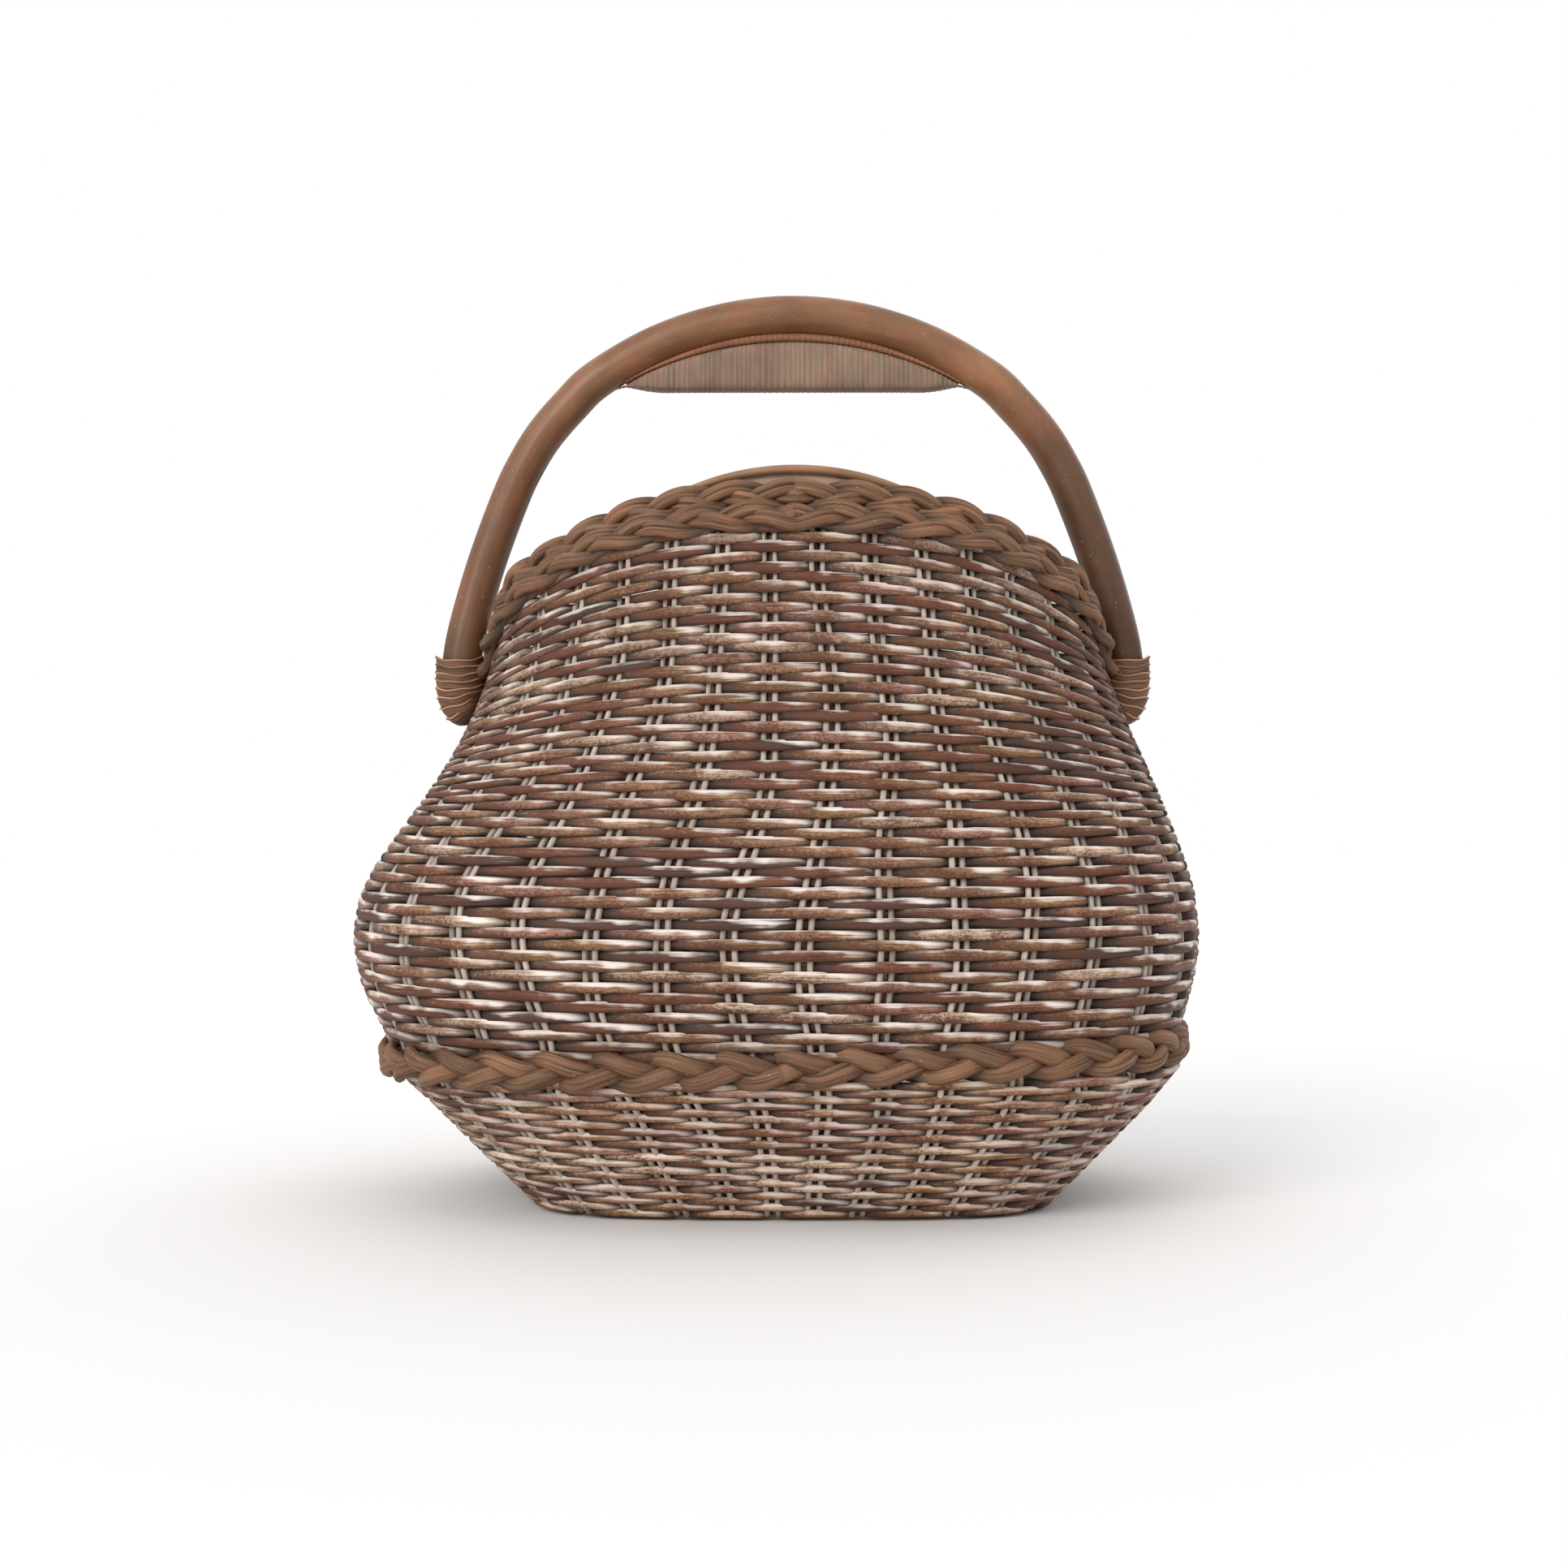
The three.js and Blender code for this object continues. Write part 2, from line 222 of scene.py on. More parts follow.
def lean(station, z):
    """How far a stake pair wanders along the wall at a height, in pairs."""
    turn = 2 * math.pi * station / STAKE_PAIRS
    aside = (station + STAKE_PAIRS / 2) % STAKE_PAIRS - STAKE_PAIRS / 2
    total = LEAN_FAN * aside * np.exp(-(aside / LEAN_FAN_REACH) ** 2) * smoothstep(z, *LEAN_FAN_Z)
    for size, turns, height, phase in LEAN_WAVES:
        total = total + size * np.sin(turns * turn + z / height + phase)
    return total


# ------ meshes
GRAIN_SHIFTS = (37.0, 11.0)  # keep each strand's grain apart


class Strands:
    """Gathers swept strands into one mesh with attributes for its material.

    tint is the strand's colour, with painted light or shade in it on some strands. grain is a place
    along and across the straightened strand, in metres. form holds the relief (1 where the strand stands
    proud, 0 where it is hidden), the lead (from -1 at a float's left end to 1 at its right end) and the
    side (1 on top, -1 underneath).
    """

    def __init__(self):
        self.points, self.faces, self.tints, self.forms, self.grains = [], [], [], [], []
        self.count = 0

    def add(self, centres, outs, ups, thick, height, tint, relief=1.0, lead=0.0, sides=8, seed=0.0,
            closed=False):
        size = len(centres)
        thick = np.broadcast_to(thick, size)[:, None, None]
        height = np.broadcast_to(height, size)[:, None, None]
        turn = 2 * math.pi * (np.arange(sides) + 0.5) / sides
        cos, sin = np.cos(turn)[None, :, None], np.sin(turn)[None, :, None]
        ring = centres[:, None, :] + outs[:, None, :] * thick * cos + ups[:, None, :] * height * sin
        along = lengths_along(centres)
        across = np.broadcast_to(height * sin, (size, sides, 1))
        depth = np.broadcast_to(thick * cos, (size, sides, 1))
        lengths = np.broadcast_to(along[:, None, None], (size, sides, 1))
        grain = np.concatenate(
            [lengths + GRAIN_SHIFTS[0] * seed, across + GRAIN_SHIFTS[1] * seed, depth], axis=-1)
        tint = np.broadcast_to(tint, (size, 3))
        self.points.append(ring.reshape(-1, 3))
        self.grains.append(grain.reshape(-1, 3))
        self.tints.append(np.repeat(tint, sides, axis=0))
        form = np.empty((size, sides, 3))
        form[:, :, 0] = np.broadcast_to(relief, size)[:, None]
        form[:, :, 1] = np.broadcast_to(lead, size)[:, None]
        form[:, :, 2] = np.sin(turn)[None, :]
        self.forms.append(form.reshape(-1, 3))
        rows = size if closed else size - 1
        i = np.arange(rows)[:, None]
        j = np.arange(sides)[None, :]
        here, after = i * sides, ((i + 1) % size) * sides
        across_j = (j + 1) % sides
        quads = np.stack([here + j, after + j, after + across_j, here + across_j], axis=-1)
        self.faces.extend((quads.reshape(-1, 4) + self.count).tolist())
        if not closed:
            last = self.count + (size - 1) * sides
            self.faces.append(list(range(self.count, self.count + sides)))
            self.faces.append(list(range(last, last + sides))[::-1])
        self.count += size * sides

    def build(self, name, material, node, slot):
        mesh = grained_mesh(name, np.concatenate(self.points), self.faces, np.concatenate(self.tints),
                            np.concatenate(self.forms), np.concatenate(self.grains))
        mesh.shade_smooth()
        place(name, mesh, material, node)


def grained_mesh(name, points, faces, tints, forms, grains):
    """A mesh from millimetres, with the attributes that the cane and weave materials read."""
    mesh = bpy.data.meshes.new(name)
    mesh.from_pydata(points * MM, [], faces)
    colours = np.column_stack([np.broadcast_to(tints, (len(points), 3)), np.ones(len(points))])
    for label, kind, field, values in (("tint", "FLOAT_COLOR", "color", colours),
                                       ("form", "FLOAT_VECTOR", "vector", forms),
                                       ("grain", "FLOAT_VECTOR", "vector", grains * MM)):
        layer = mesh.attributes.new(label, kind, "POINT")
        layer.data.foreach_set(field, np.asarray(values, dtype=np.float32).ravel())
    return mesh


def loft_faces(rings, sides):
    """Faces of a tube of rings, with a cap at each end."""
    faces = [[i * sides + j, i * sides + (j + 1) % sides, (i + 1) * sides + (j + 1) % sides,
              (i + 1) * sides + j] for i in range(rings - 1) for j in range(sides)]
    faces.append(list(range(sides))[::-1])
    faces.append([(rings - 1) * sides + j for j in range(sides)])
    return faces


def linked(name, data):
    """A new object in the scene."""
    thing = bpy.data.objects.new(name, data)
    bpy.context.collection.objects.link(thing)
    return thing


def place(name, mesh, material, node, body="basket"):
    """A piece that rides on a body, stands for a CAD node and takes the given material."""
    mesh.materials.append(material)
    piece = linked(name, mesh)
    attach(piece, body)
    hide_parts(node)
    return piece


def wave_noise(count, length, seed):
    """Smooth noise between -1 and 1 over count samples, with about length samples a swing."""
    source = np.random.default_rng(seed)
    knots = source.uniform(-1, 1, int(count / length) + 4)
    return np.interp(np.arange(count) / length, np.arange(len(knots)), knots)


# ------ colours
def linear(red, green, blue):
    """A display colour from 0 to 255 as linear light."""
    channels = np.array([red, green, blue]) / 255
    return np.where(channels <= 0.04045, channels / 12.92, ((channels + 0.055) / 1.055) ** 2.4)


CREAM = linear(186, 157, 133)
TAN = linear(152, 114, 87)
GOLD = linear(148, 112, 78)
PINK = linear(154, 112, 94)
RUST = linear(126, 80, 58)
UMBER = linear(88, 66, 56)
WEAVER_COLOURS = np.array([CREAM, TAN, GOLD, PINK, RUST, UMBER])
WEAVER_SHARES = np.array([0.18, 0.30, 0.16, 0.14, 0.15, 0.07])
WEAVER_SHADES = (0.74, 1.18)
SAME_AS_ROW = 0.35  # the share of a row's floats that take the row's own colour
# whitewash colour, also used for a painted highlight on the weave's floats and for pale specks on cane
WASH_AND_HIGHLIGHT = linear(242, 230, 222)
# brown stain, also used as painted shade on the underside of the weave's floats
STAIN_AND_SHADE = linear(84, 49, 34)
# near-black painted shade where a strand tucks behind the stakes or under another strand
TUCK_SHADE = linear(34, 27, 24)
STAKE_COLOUR = linear(178, 164, 156)
BRAID_COLOUR = linear(118, 84, 61)
PLAIT_COLOUR = BRAID_COLOUR * 0.93
POLE_COLOUR = linear(134, 92, 65)
WINDING_COLOUR = linear(134, 110, 95)
STRIP_COLOUR = linear(146, 100, 74)
WRAP_COLOUR = BRAID_COLOUR * 0.85
WRAP_RIM_COLOUR = linear(170, 130, 106)
CREST_COLOUR = linear(160, 130, 114)
CREST_BOW_COLOUR = linear(146, 108, 82)
BOARD_COLOUR = linear(120, 96, 78)
COTTON_COLOURS = (linear(206, 196, 178), linear(228, 220, 204))
FLOOR_COLOUR = (0.775, 0.765, 0.76, 1)


def pick_colours(count, source):
    """Float colours: a third or so take the row's colour, and the rest are picked singly."""
    row = source.choice(len(WEAVER_COLOURS), p=WEAVER_SHARES)
    single = source.choice(len(WEAVER_COLOURS), size=count, p=WEAVER_SHARES)
    chosen = np.where(source.random(count) < SAME_AS_ROW, row, single)
    shade = source.uniform(*WEAVER_SHADES, (count, 1))
    return WEAVER_COLOURS[chosen] * shade


# ------ materials
class Nodes:
    """A node material and short helpers for its nodes."""

    def __init__(self, name):
        self.material = bpy.data.materials.new(name)
        self.material.use_nodes = True
        self.tree = self.material.node_tree
        self.shader = self.tree.nodes["Principled BSDF"]

    def add(self, kind, **settings):
        node = self.tree.nodes.new("ShaderNode" + kind)
        for key, value in settings.items():
            setattr(node, key, value)
        return node

    def link(self, source, target):
        self.tree.links.new(source, target)

    def feed(self, socket, value):
        """Link a socket to another one, or set it to a number or a colour."""
        if isinstance(value, bpy.types.NodeSocket):
            self.link(value, socket)
        elif hasattr(value, "__len__"):
            socket.default_value = tuple(value) + (1,)
        else:
            socket.default_value = value

    def attribute(self, name):
        return self.add("Attribute", attribute_name=name)

    def noise(self, vector, scale, stretch=(1, 1, 1), detail=3.0, rough=0.55):
        mapping = self.add("Mapping")
        mapping.inputs["Scale"].default_value = stretch
        self.link(vector, mapping.inputs["Vector"])
        noise = self.add("TexNoise")
        noise.inputs["Scale"].default_value = scale
        noise.inputs["Detail"].default_value = detail
        noise.inputs["Roughness"].default_value = rough
        self.link(mapping.outputs["Vector"], noise.inputs["Vector"])
        return noise.outputs["Fac"]

    def ramp(self, factor, *stops):
        """A colour ramp, whose stops are colours or plain levels."""
        ramp = self.add("ValToRGB")
        elements = ramp.color_ramp.elements
        while len(elements) < len(stops):
            elements.new(0.5)
        for element, (position, colour) in zip(elements, stops):
            element.position = position
            element.color = (*np.broadcast_to(colour, 3), 1)
        self.link(factor, ramp.inputs["Fac"])
        return ramp.outputs["Color"]

    def mix(self, factor, first, second, blend="MIX"):
        mix = self.add("Mix", data_type="RGBA", blend_type=blend)
        for socket, value in ((mix.inputs[0], factor), (mix.inputs[6], first), (mix.inputs[7], second)):
            self.feed(socket, value)
        return mix.outputs[2]

    def times(self, first, second):
        return self.mix(1.0, first, second, "MULTIPLY")

    def math(self, operation, first, second=0.0, third=0.0):
        node = self.add("Math", operation=operation)
        for socket, value in zip(node.inputs, (first, second, third)):
            self.feed(socket, value)
        return node.outputs[0]

    def plus(self, total, value, factor, offset):
        """The total, and the value times the factor with the offset."""
        return self.math("ADD", total, self.math("MULTIPLY_ADD", value, factor, offset))

    def bump(self, height, strength, distance):
        bump = self.add("Bump")
        bump.inputs["Strength"].default_value = strength
        bump.inputs["Distance"].default_value = distance
        self.link(height, bump.inputs["Height"])
        self.link(bump.outputs["Normal"], self.shader.inputs["Normal"])

    def finish(self, colour, roughness, **values):
        self.link(colour, self.shader.inputs["Base Color"])
        self.feed(self.shader.inputs["Roughness"], roughness)
        for name, value in values.items():
            self.shader.inputs[name.replace("_", " ")].default_value = value
        return self.material


def strand_inputs(n):
    """The strand's tint, its grain place, and its relief, lead and side."""
    form = n.add("SeparateXYZ")
    n.link(n.attribute("form").outputs["Vector"], form.inputs[0])
    return (n.attribute("tint").outputs["Color"], n.attribute("grain").outputs["Vector"],
            form.outputs["X"], form.outputs["Y"], form.outputs["Z"])


def weave_material():
    """Split willow: brown stain on a float's left end and painted shade on its lower side, whitewash
    with a painted highlight on its crown, top side and right end, and painted shade at its tips and
    edges where it dives behind the stakes.
    """
    n = Nodes("split_willow")
    tint, grain, relief, lead, side = strand_inputs(n)
    fibres = n.noise(grain, 1050.0, (0.035, 1, 1), detail=3)
    coarse = n.noise(grain, 420.0, (0.06, 1, 1), detail=2)
    stipple = n.noise(grain, 950.0, (0.6, 1, 1), detail=3, rough=0.75)
    blotch = n.noise(grain, 90.0, (0.6, 0.6, 0.6), detail=2)
    patch = n.noise(n.add("TexCoord").outputs["Object"], 32.0, (1, 1, 1.6), detail=3)
    colour = n.times(tint, n.ramp(fibres, (0.34, 0.62), (0.52, 1.0), (0.72, 1.18)))
    colour = n.times(colour, n.ramp(blotch, (0.3, 0.78), (0.7, 1.15)))
    split = n.ramp(coarse, (0.455, 1.0), (0.485, 0.25), (0.495, 0.25), (0.525, 1.0))
    split = n.mix(n.ramp(blotch, (0.46, 0.0), (0.6, 1.0)), (1, 1, 1), split)
    colour = n.times(colour, split)
    # real brown stain towards a float's left end, plus painted shade on its lower side
    stain_and_shade = n.math("MULTIPLY_ADD", lead, -0.55, 0.50)
    stain_and_shade = n.math("MULTIPLY_ADD", side, -0.42, stain_and_shade)
    stain_and_shade = n.plus(stain_and_shade, stipple, 2.6, -1.3)
    stain_and_shade = n.plus(stain_and_shade, blotch, 1.4, -0.7)
    stain_and_shade = n.plus(stain_and_shade, patch, -1.1, 0.60)
    colour = n.mix(n.ramp(stain_and_shade, (0.25, 0.0), (0.95, 0.92)), colour, STAIN_AND_SHADE)
    # whitewash with a painted highlight, strongest on a float's crown, top side and right end
    wash_and_highlight = n.math("MULTIPLY_ADD", lead, 0.40, -0.08)
    wash_and_highlight = n.math("MULTIPLY_ADD", side, 0.60, wash_and_highlight)
    wash_and_highlight = n.plus(wash_and_highlight, fibres, 0.9, -0.45)
    wash_and_highlight = n.plus(wash_and_highlight, blotch, -1.5, 0.75)
    wash_and_highlight = n.plus(wash_and_highlight, patch, 1.2, -0.64)
    wash_and_highlight = n.math("MULTIPLY", n.ramp(wash_and_highlight, (0.10, 0.0), (0.52, 1.0)), relief)
    colour = n.mix(n.math("MULTIPLY", wash_and_highlight, 0.80), colour, WASH_AND_HIGHLIGHT)
    # painted shade at a float's ends and upper and lower edges, where it dives behind the stakes
    tip = n.math("SUBTRACT", 1.0, n.math("ABSOLUTE", lead))
    tip = n.math("MULTIPLY_ADD", n.math("MAXIMUM", lead, 0.0), 0.10, tip)
    tip = n.math("MULTIPLY_ADD", n.math("MULTIPLY", side, side), -0.34, tip)
    colour = n.mix(n.ramp(tip, (0.0, 0.96), (0.14, 0.88), (0.46, 0.0)), colour, TUCK_SHADE)
    n.bump(n.math("ADD", fibres, n.math("MULTIPLY", stipple, 0.5)), 0.45, 0.0005)
    return n.finish(colour, n.ramp(fibres, (0.3, 0.75), (0.7, 0.5)), Specular_IOR_Level=0.3)


def cane_material(name, streak=0.4, tuck_shade=0.6, roughness=0.55, scale=900.0, blotchy=0.2, gloss=0.35,
                  stretch=0.08):
    """Smooth cane: streaks along the grain in reddish and greenish browns, with painted shade where it
    tucks under.
    """
    n = Nodes(name)
    tint, grain, relief, _, _ = strand_inputs(n)
    fibres = n.noise(grain, scale, (0.035, 1, 1), detail=4)
    bands = n.noise(grain, scale * 0.3, (stretch, 1, 1), detail=2)
    blotch = n.noise(grain, 70.0, (0.5, 1, 1), detail=4)
    specks = n.noise(grain, 900.0, (0.7, 1, 1), detail=2)
    hue = n.mix(n.ramp(bands, (0.4, 0.0), (0.6, 1.0)), (1.06, 0.975, 0.93), (0.94, 1.01, 0.95))
    colour = n.times(tint, hue)
    colour = n.times(colour, n.ramp(fibres, (0.32, 1 - streak), (0.5, 1.0), (0.72, 1 + streak * 0.45)))
    colour = n.times(colour, n.ramp(blotch, (0.3, 1 - blotchy), (0.7, 1 + blotchy)))
    colour = n.mix(n.ramp(specks, (0.70, 0.0), (0.76, 0.35)), colour, WASH_AND_HIGHLIGHT)
    # painted shade where the strand's relief is low, where it tucks under
    if tuck_shade:
        colour = n.mix(n.ramp(relief, (0.0, tuck_shade), (0.5, tuck_shade * 0.25), (0.8, 0.0)), colour, TUCK_SHADE)
    n.bump(fibres, 0.35, 0.0006)
    return n.finish(colour, n.ramp(fibres, (0.3, roughness + 0.12), (0.7, roughness - 0.06)),
                    Specular_IOR_Level=gloss)


WEAVE = weave_material()
STAKE = cane_material("willow_rod", streak=0.3, tuck_shade=0.0, roughness=0.5, scale=1500.0)
CANE = cane_material("braided_cane", streak=0.68, tuck_shade=0.85, roughness=0.55, scale=800.0, blotchy=0.25)
POLE = cane_material("rattan_pole", streak=0.10, tuck_shade=0.0, roughness=0.42, scale=300.0, blotchy=0.24,
                     gloss=0.4, stretch=0.5)
WINDING = cane_material("fine_winding", streak=0.16, tuck_shade=0.3, roughness=0.7, scale=500.0, stretch=0.8)
CREST = cane_material("smooth_crest", streak=0.12, tuck_shade=0.0, roughness=0.45, scale=380.0)


# ------ the weave
STEPS = 11  # points along a weaver from one stake pair to the next
RING_OVERLAP = 0.4  # of a pair, where a ring's two ends meet
TRAY_PITCH = 4.4
WALL_PITCH = 5.35
TRAY_WAVE = 0.3
WALL_WAVE = 0.45
WEAVER_SEED = 1000
WALL_NUMBERS = 50  # the wall's rows are counted from here, after the tray's

WEAVER_THICK = 1.65
WEAVER_THICKNESSES = (0.94, 1.06)
WEAVER_HEIGHT = 1.04  # over its row's pitch
WEAVER_HEIGHTS = (0.96, 1.08)
WEAVER_TILT = 0.5
WEAVE_SWING = 3.3
WEAVE_DEPTH = 2.3
CROWN_HEIGHT = 0.10  # added at the middle of a float
CROWDED_HEIGHT = 0.07  # added where the wall is narrow
CROWDED_Z = (200, 260)
DIVE_HEIGHT = 0.7  # millimetres added behind the stakes
DIVE_ENDS = (0.07, 0.55)
HANDOVER = 0.06  # the share of a float over which it takes its own looks

# painted shade on the weave just over the rim braid, and a darkening towards the border
RIM_SHADE = 0.60
RIM_SHADE_REACH = 7
BORDER_DARKENING = 0.17
BORDER_DARKENING_Z = (210, 320)
# the tray is painted paler than the wall, as painted light from the bright floor below
TRAY_PAINTED_LIGHT = 0.22  # than the wall
# the tray takes this share of the wall's whitewash and painted highlight
TRAY_WASH_AND_HIGHLIGHT = 0.6  # of the wall's

CREST_ROWS_Z = (215, 362)  # where rows leave the level and where they follow the border
CREST_ROWS_EASE = 0.9
CREST_ROWS_REACH = 85
ROWS_DOWN = 17  # the wall's rows and stakes stop this far below the border's top edge
STAKES_DOWN = 18

PAIR_WIDTH = 6.3
ROD_RADIUS = 1.75
ROD_SEED = 31
TRAY_ROD_DEPTH = 0.7


def back_heights(surface, low, high, pitch):
    """Heights of the rows at the middle of the back, evenly spaced along the wall's slope."""
    z = np.linspace(low, high, 800)
    length = lengths_along(surface(np.zeros_like(z), z))
    count = int(length[-1] / pitch)
    return np.interp((np.arange(count) + 0.5) * length[-1] / count, length, z), length[-1] / count


def weaver_lightness(z):
    """How light a weaver is left at a height: painted shade just over the rim braid, and darker towards
    the border.
    """
    # painted shade on the rows just over the rim braid
    over_rim = RIM_SHADE * np.exp(-((z - RIM_HIGH[2]) / RIM_SHADE_REACH) ** 2)
    return 1 - over_rim - BORDER_DARKENING * smoothstep(z, *BORDER_DARKENING_Z)


def weave_row(strands, surface, station, z, number, pitch):
    """One weaver: it lies outside the stakes but for a short dive behind every second pair."""
    source = np.random.default_rng(WEAVER_SEED + number)
    angle = station_angle(station)
    points = surface(angle, z)
    normals = outward(surface, angle, z)
    ups = unit(np.cross(normals, unit(np.gradient(points, axis=0))))
    level = normals * LEVEL
    level = level / np.sum(level ** 2, axis=-1, keepdims=True)
    floats = 0.5 * (station - lean(station, z) - 0.5 + number) + 0.5
    index = np.floor(floats).astype(int)
    lead = 2 * (floats - index) - 1
    relief = smoothstep(2 * (1 - np.abs(lead)), *DIVE_ENDS)
    share = smoothstep(floats - index, 0.0, HANDOVER)
    order = index - index.min()
    count = order.max() + 2

    def along_row(values):
        """Each float's own value, handed over smoothly to the next float's."""
        late = share.reshape((-1,) + (1,) * (values.ndim - 1))
        return values[order] * (1 - late) + values[order + 1] * late

    tint = along_row(pick_colours(count, source))
    width = along_row(source.uniform(*WEAVER_HEIGHTS, count))
    slant = along_row(source.uniform(-WEAVER_TILT, WEAVER_TILT, count)) * lead * relief
    inset = WEAVE_DEPTH - WEAVE_SWING * (2 * relief - 1)
    centres = points - level * inset[:, None] + ups * slant[:, None]
    crown = CROWN_HEIGHT * relief * np.cos(0.5 * math.pi * lead)
    crowded = CROWDED_HEIGHT * smoothstep(z, *CROWDED_Z)
    height = 0.5 * pitch * (WEAVER_HEIGHT + crown + crowded) * width + DIVE_HEIGHT * (1 - relief)
    thick = WEAVER_THICK * source.uniform(*WEAVER_THICKNESSES)
    # painted shade over the rim braid and a darkening towards the border, on the colour and on the
    # whitewash and painted highlight
    lightness = weaver_lightness(z)
    upper = smoothstep(z, TRAY_TOP_Z, RIM_HIGH[2])
    # painted light on the tray, which is paler than the wall
    tint = tint * (lightness * (1 + TRAY_PAINTED_LIGHT - TRAY_PAINTED_LIGHT * upper))[:, None]
    # the relief passed on sets how much whitewash and painted highlight a float takes
    proud = relief * lightness * (TRAY_WASH_AND_HIGHLIGHT + (1 - TRAY_WASH_AND_HIGHLIGHT) * upper)
    strands.add(centres, normals, ups, thick, height, tint, proud, lead, seed=number + 0.37)


def ring_stations(number):
    """Places round a whole ring, whose two ends overlap behind a stake pair of the front half."""
    start = STAKE_PAIRS / 2 + (number * 5) % 9 - 4
    return np.linspace(start - RING_OVERLAP, start + STAKE_PAIRS + RING_OVERLAP, STAKE_PAIRS * STEPS + 9)


def row_wave(station, number):
    return np.sin(station * 0.7 + number * 1.9)


def build_tray():
    strands = Strands()
    heights, pitch = back_heights(tray_point, TRAY_BOTTOM_Z + 0.4, TRAY_TOP_Z + 4, TRAY_PITCH)
    for number, z in enumerate(heights):
        station = ring_stations(number)
        weave_row(strands, tray_point, station, z + TRAY_WAVE * row_wave(station, number), number, pitch)
    strands.build("tray_rows", WEAVE, "tray_weave", "weave")


def wall_row_height(angle, back_z):
    """Rows are level low down and follow the border's fall near the top of the back."""
    low, high = CREST_ROWS_Z
    share = np.clip((back_z - low) / (high - low), 0, 1) ** CREST_ROWS_EASE
    depth = np.maximum(wall_radius(0.0, back_z) - wall_radius(angle, back_z) * np.cos(angle), 0)
    return back_z - EDGE_SLOPE * share * CREST_ROWS_REACH * np.tanh(depth / CREST_ROWS_REACH)


def wall_row(back_z, station, number):
    """A row's heights, its local spacing and where it is below the border."""
    angle = station_angle(station)
    z = wall_row_height(angle, back_z)
    above = wall_row_height(angle, back_z + 1)
    slope = np.gradient(z) / np.linalg.norm(np.gradient(wall_point(angle, z), axis=0), axis=1)
    z_waved = z + WALL_WAVE * row_wave(station, number)
    return z_waved, (above - z) * np.sqrt(1 - slope ** 2), z_waved < below_edge(angle, ROWS_DOWN)


def build_wall():
    top = below_edge(0.0, STAKES_DOWN)
    heights, pitch = back_heights(wall_point, WALL_BOTTOM_Z - 6, top, WALL_PITCH)
    low_rows, high_rows = Strands(), Strands()
    for number, back_z in enumerate(heights):
        station = ring_stations(number + 3)
        z, spread, inside = wall_row(back_z, station, number)
        if not inside.all():
            station = np.linspace(-STAKE_PAIRS / 2, STAKE_PAIRS / 2, STAKE_PAIRS * STEPS + 1)
            z, spread, inside = wall_row(back_z, station, number)
        strands = low_rows if number < len(heights) // 2 - 2 else high_rows
        if inside.sum() > STEPS:
            weave_row(strands, wall_point, station[inside], z[inside], number + WALL_NUMBERS,
                      pitch * spread[inside])
    for strands, name in ((low_rows, "wall_rows_low"), (high_rows, "wall_rows_high")):
        strands.build(name, WEAVE, "upper_weave", "weave")


def stake_path(station, shift):
    """A rod's centre line up the tray and the wall, shifted sideways in millimetres."""
    tray_z = np.linspace(TRAY_BOTTOM_Z + 1, TRAY_TOP_Z - 3, 14)
    tray_angle = station_angle(station + lean(station, tray_z))
    tray = tray_point(tray_angle, tray_z) - outward(tray_point, tray_angle, tray_z) * TRAY_ROD_DEPTH
    wall_z = np.linspace(WALL_BOTTOM_Z + 2, below_edge(station_angle(station), STAKES_DOWN), 34)
    wall_angle = station_angle(station + lean(station, wall_z))
    wall = wall_point(wall_angle, wall_z) - outward(wall_point, wall_angle, wall_z) * WEAVE_DEPTH
    line = np.concatenate([tray, wall])
    angle = np.concatenate([tray_angle, wall_angle])
    sideways = np.stack([np.cos(angle), np.sin(angle), 0 * angle], axis=-1)
    return line + sideways * shift, sideways


def build_stakes():
    source = np.random.default_rng(ROD_SEED)
    for i in range(STAKE_PAIRS):
        strands = Strands()
        for side in (-1, 1):
            line, sideways = stake_path(i + 0.5, side * PAIR_WIDTH / 2)
            outs = unit(np.cross(sideways, unit(np.gradient(line, axis=0))))
            tint = STAKE_COLOUR * source.uniform(0.8, 1.1)
            strands.add(line, outs, sideways, ROD_RADIUS, ROD_RADIUS, tint, 0.85,
                        seed=source.uniform(0, 40))
        number = f"{i + 1:02d}"
        strands.build("stake_rods_" + number, STAKE, "stake_pair_" + number, "stake")


# ------ plaits
CANE_SHADES = (0.80, 1.20)
CANE_STREAKS = 0.12
CANES = {1: ((0.0,), 1.0), 2: ((-0.47, 0.47), 0.62)}  # where a strand's canes lie, and their width


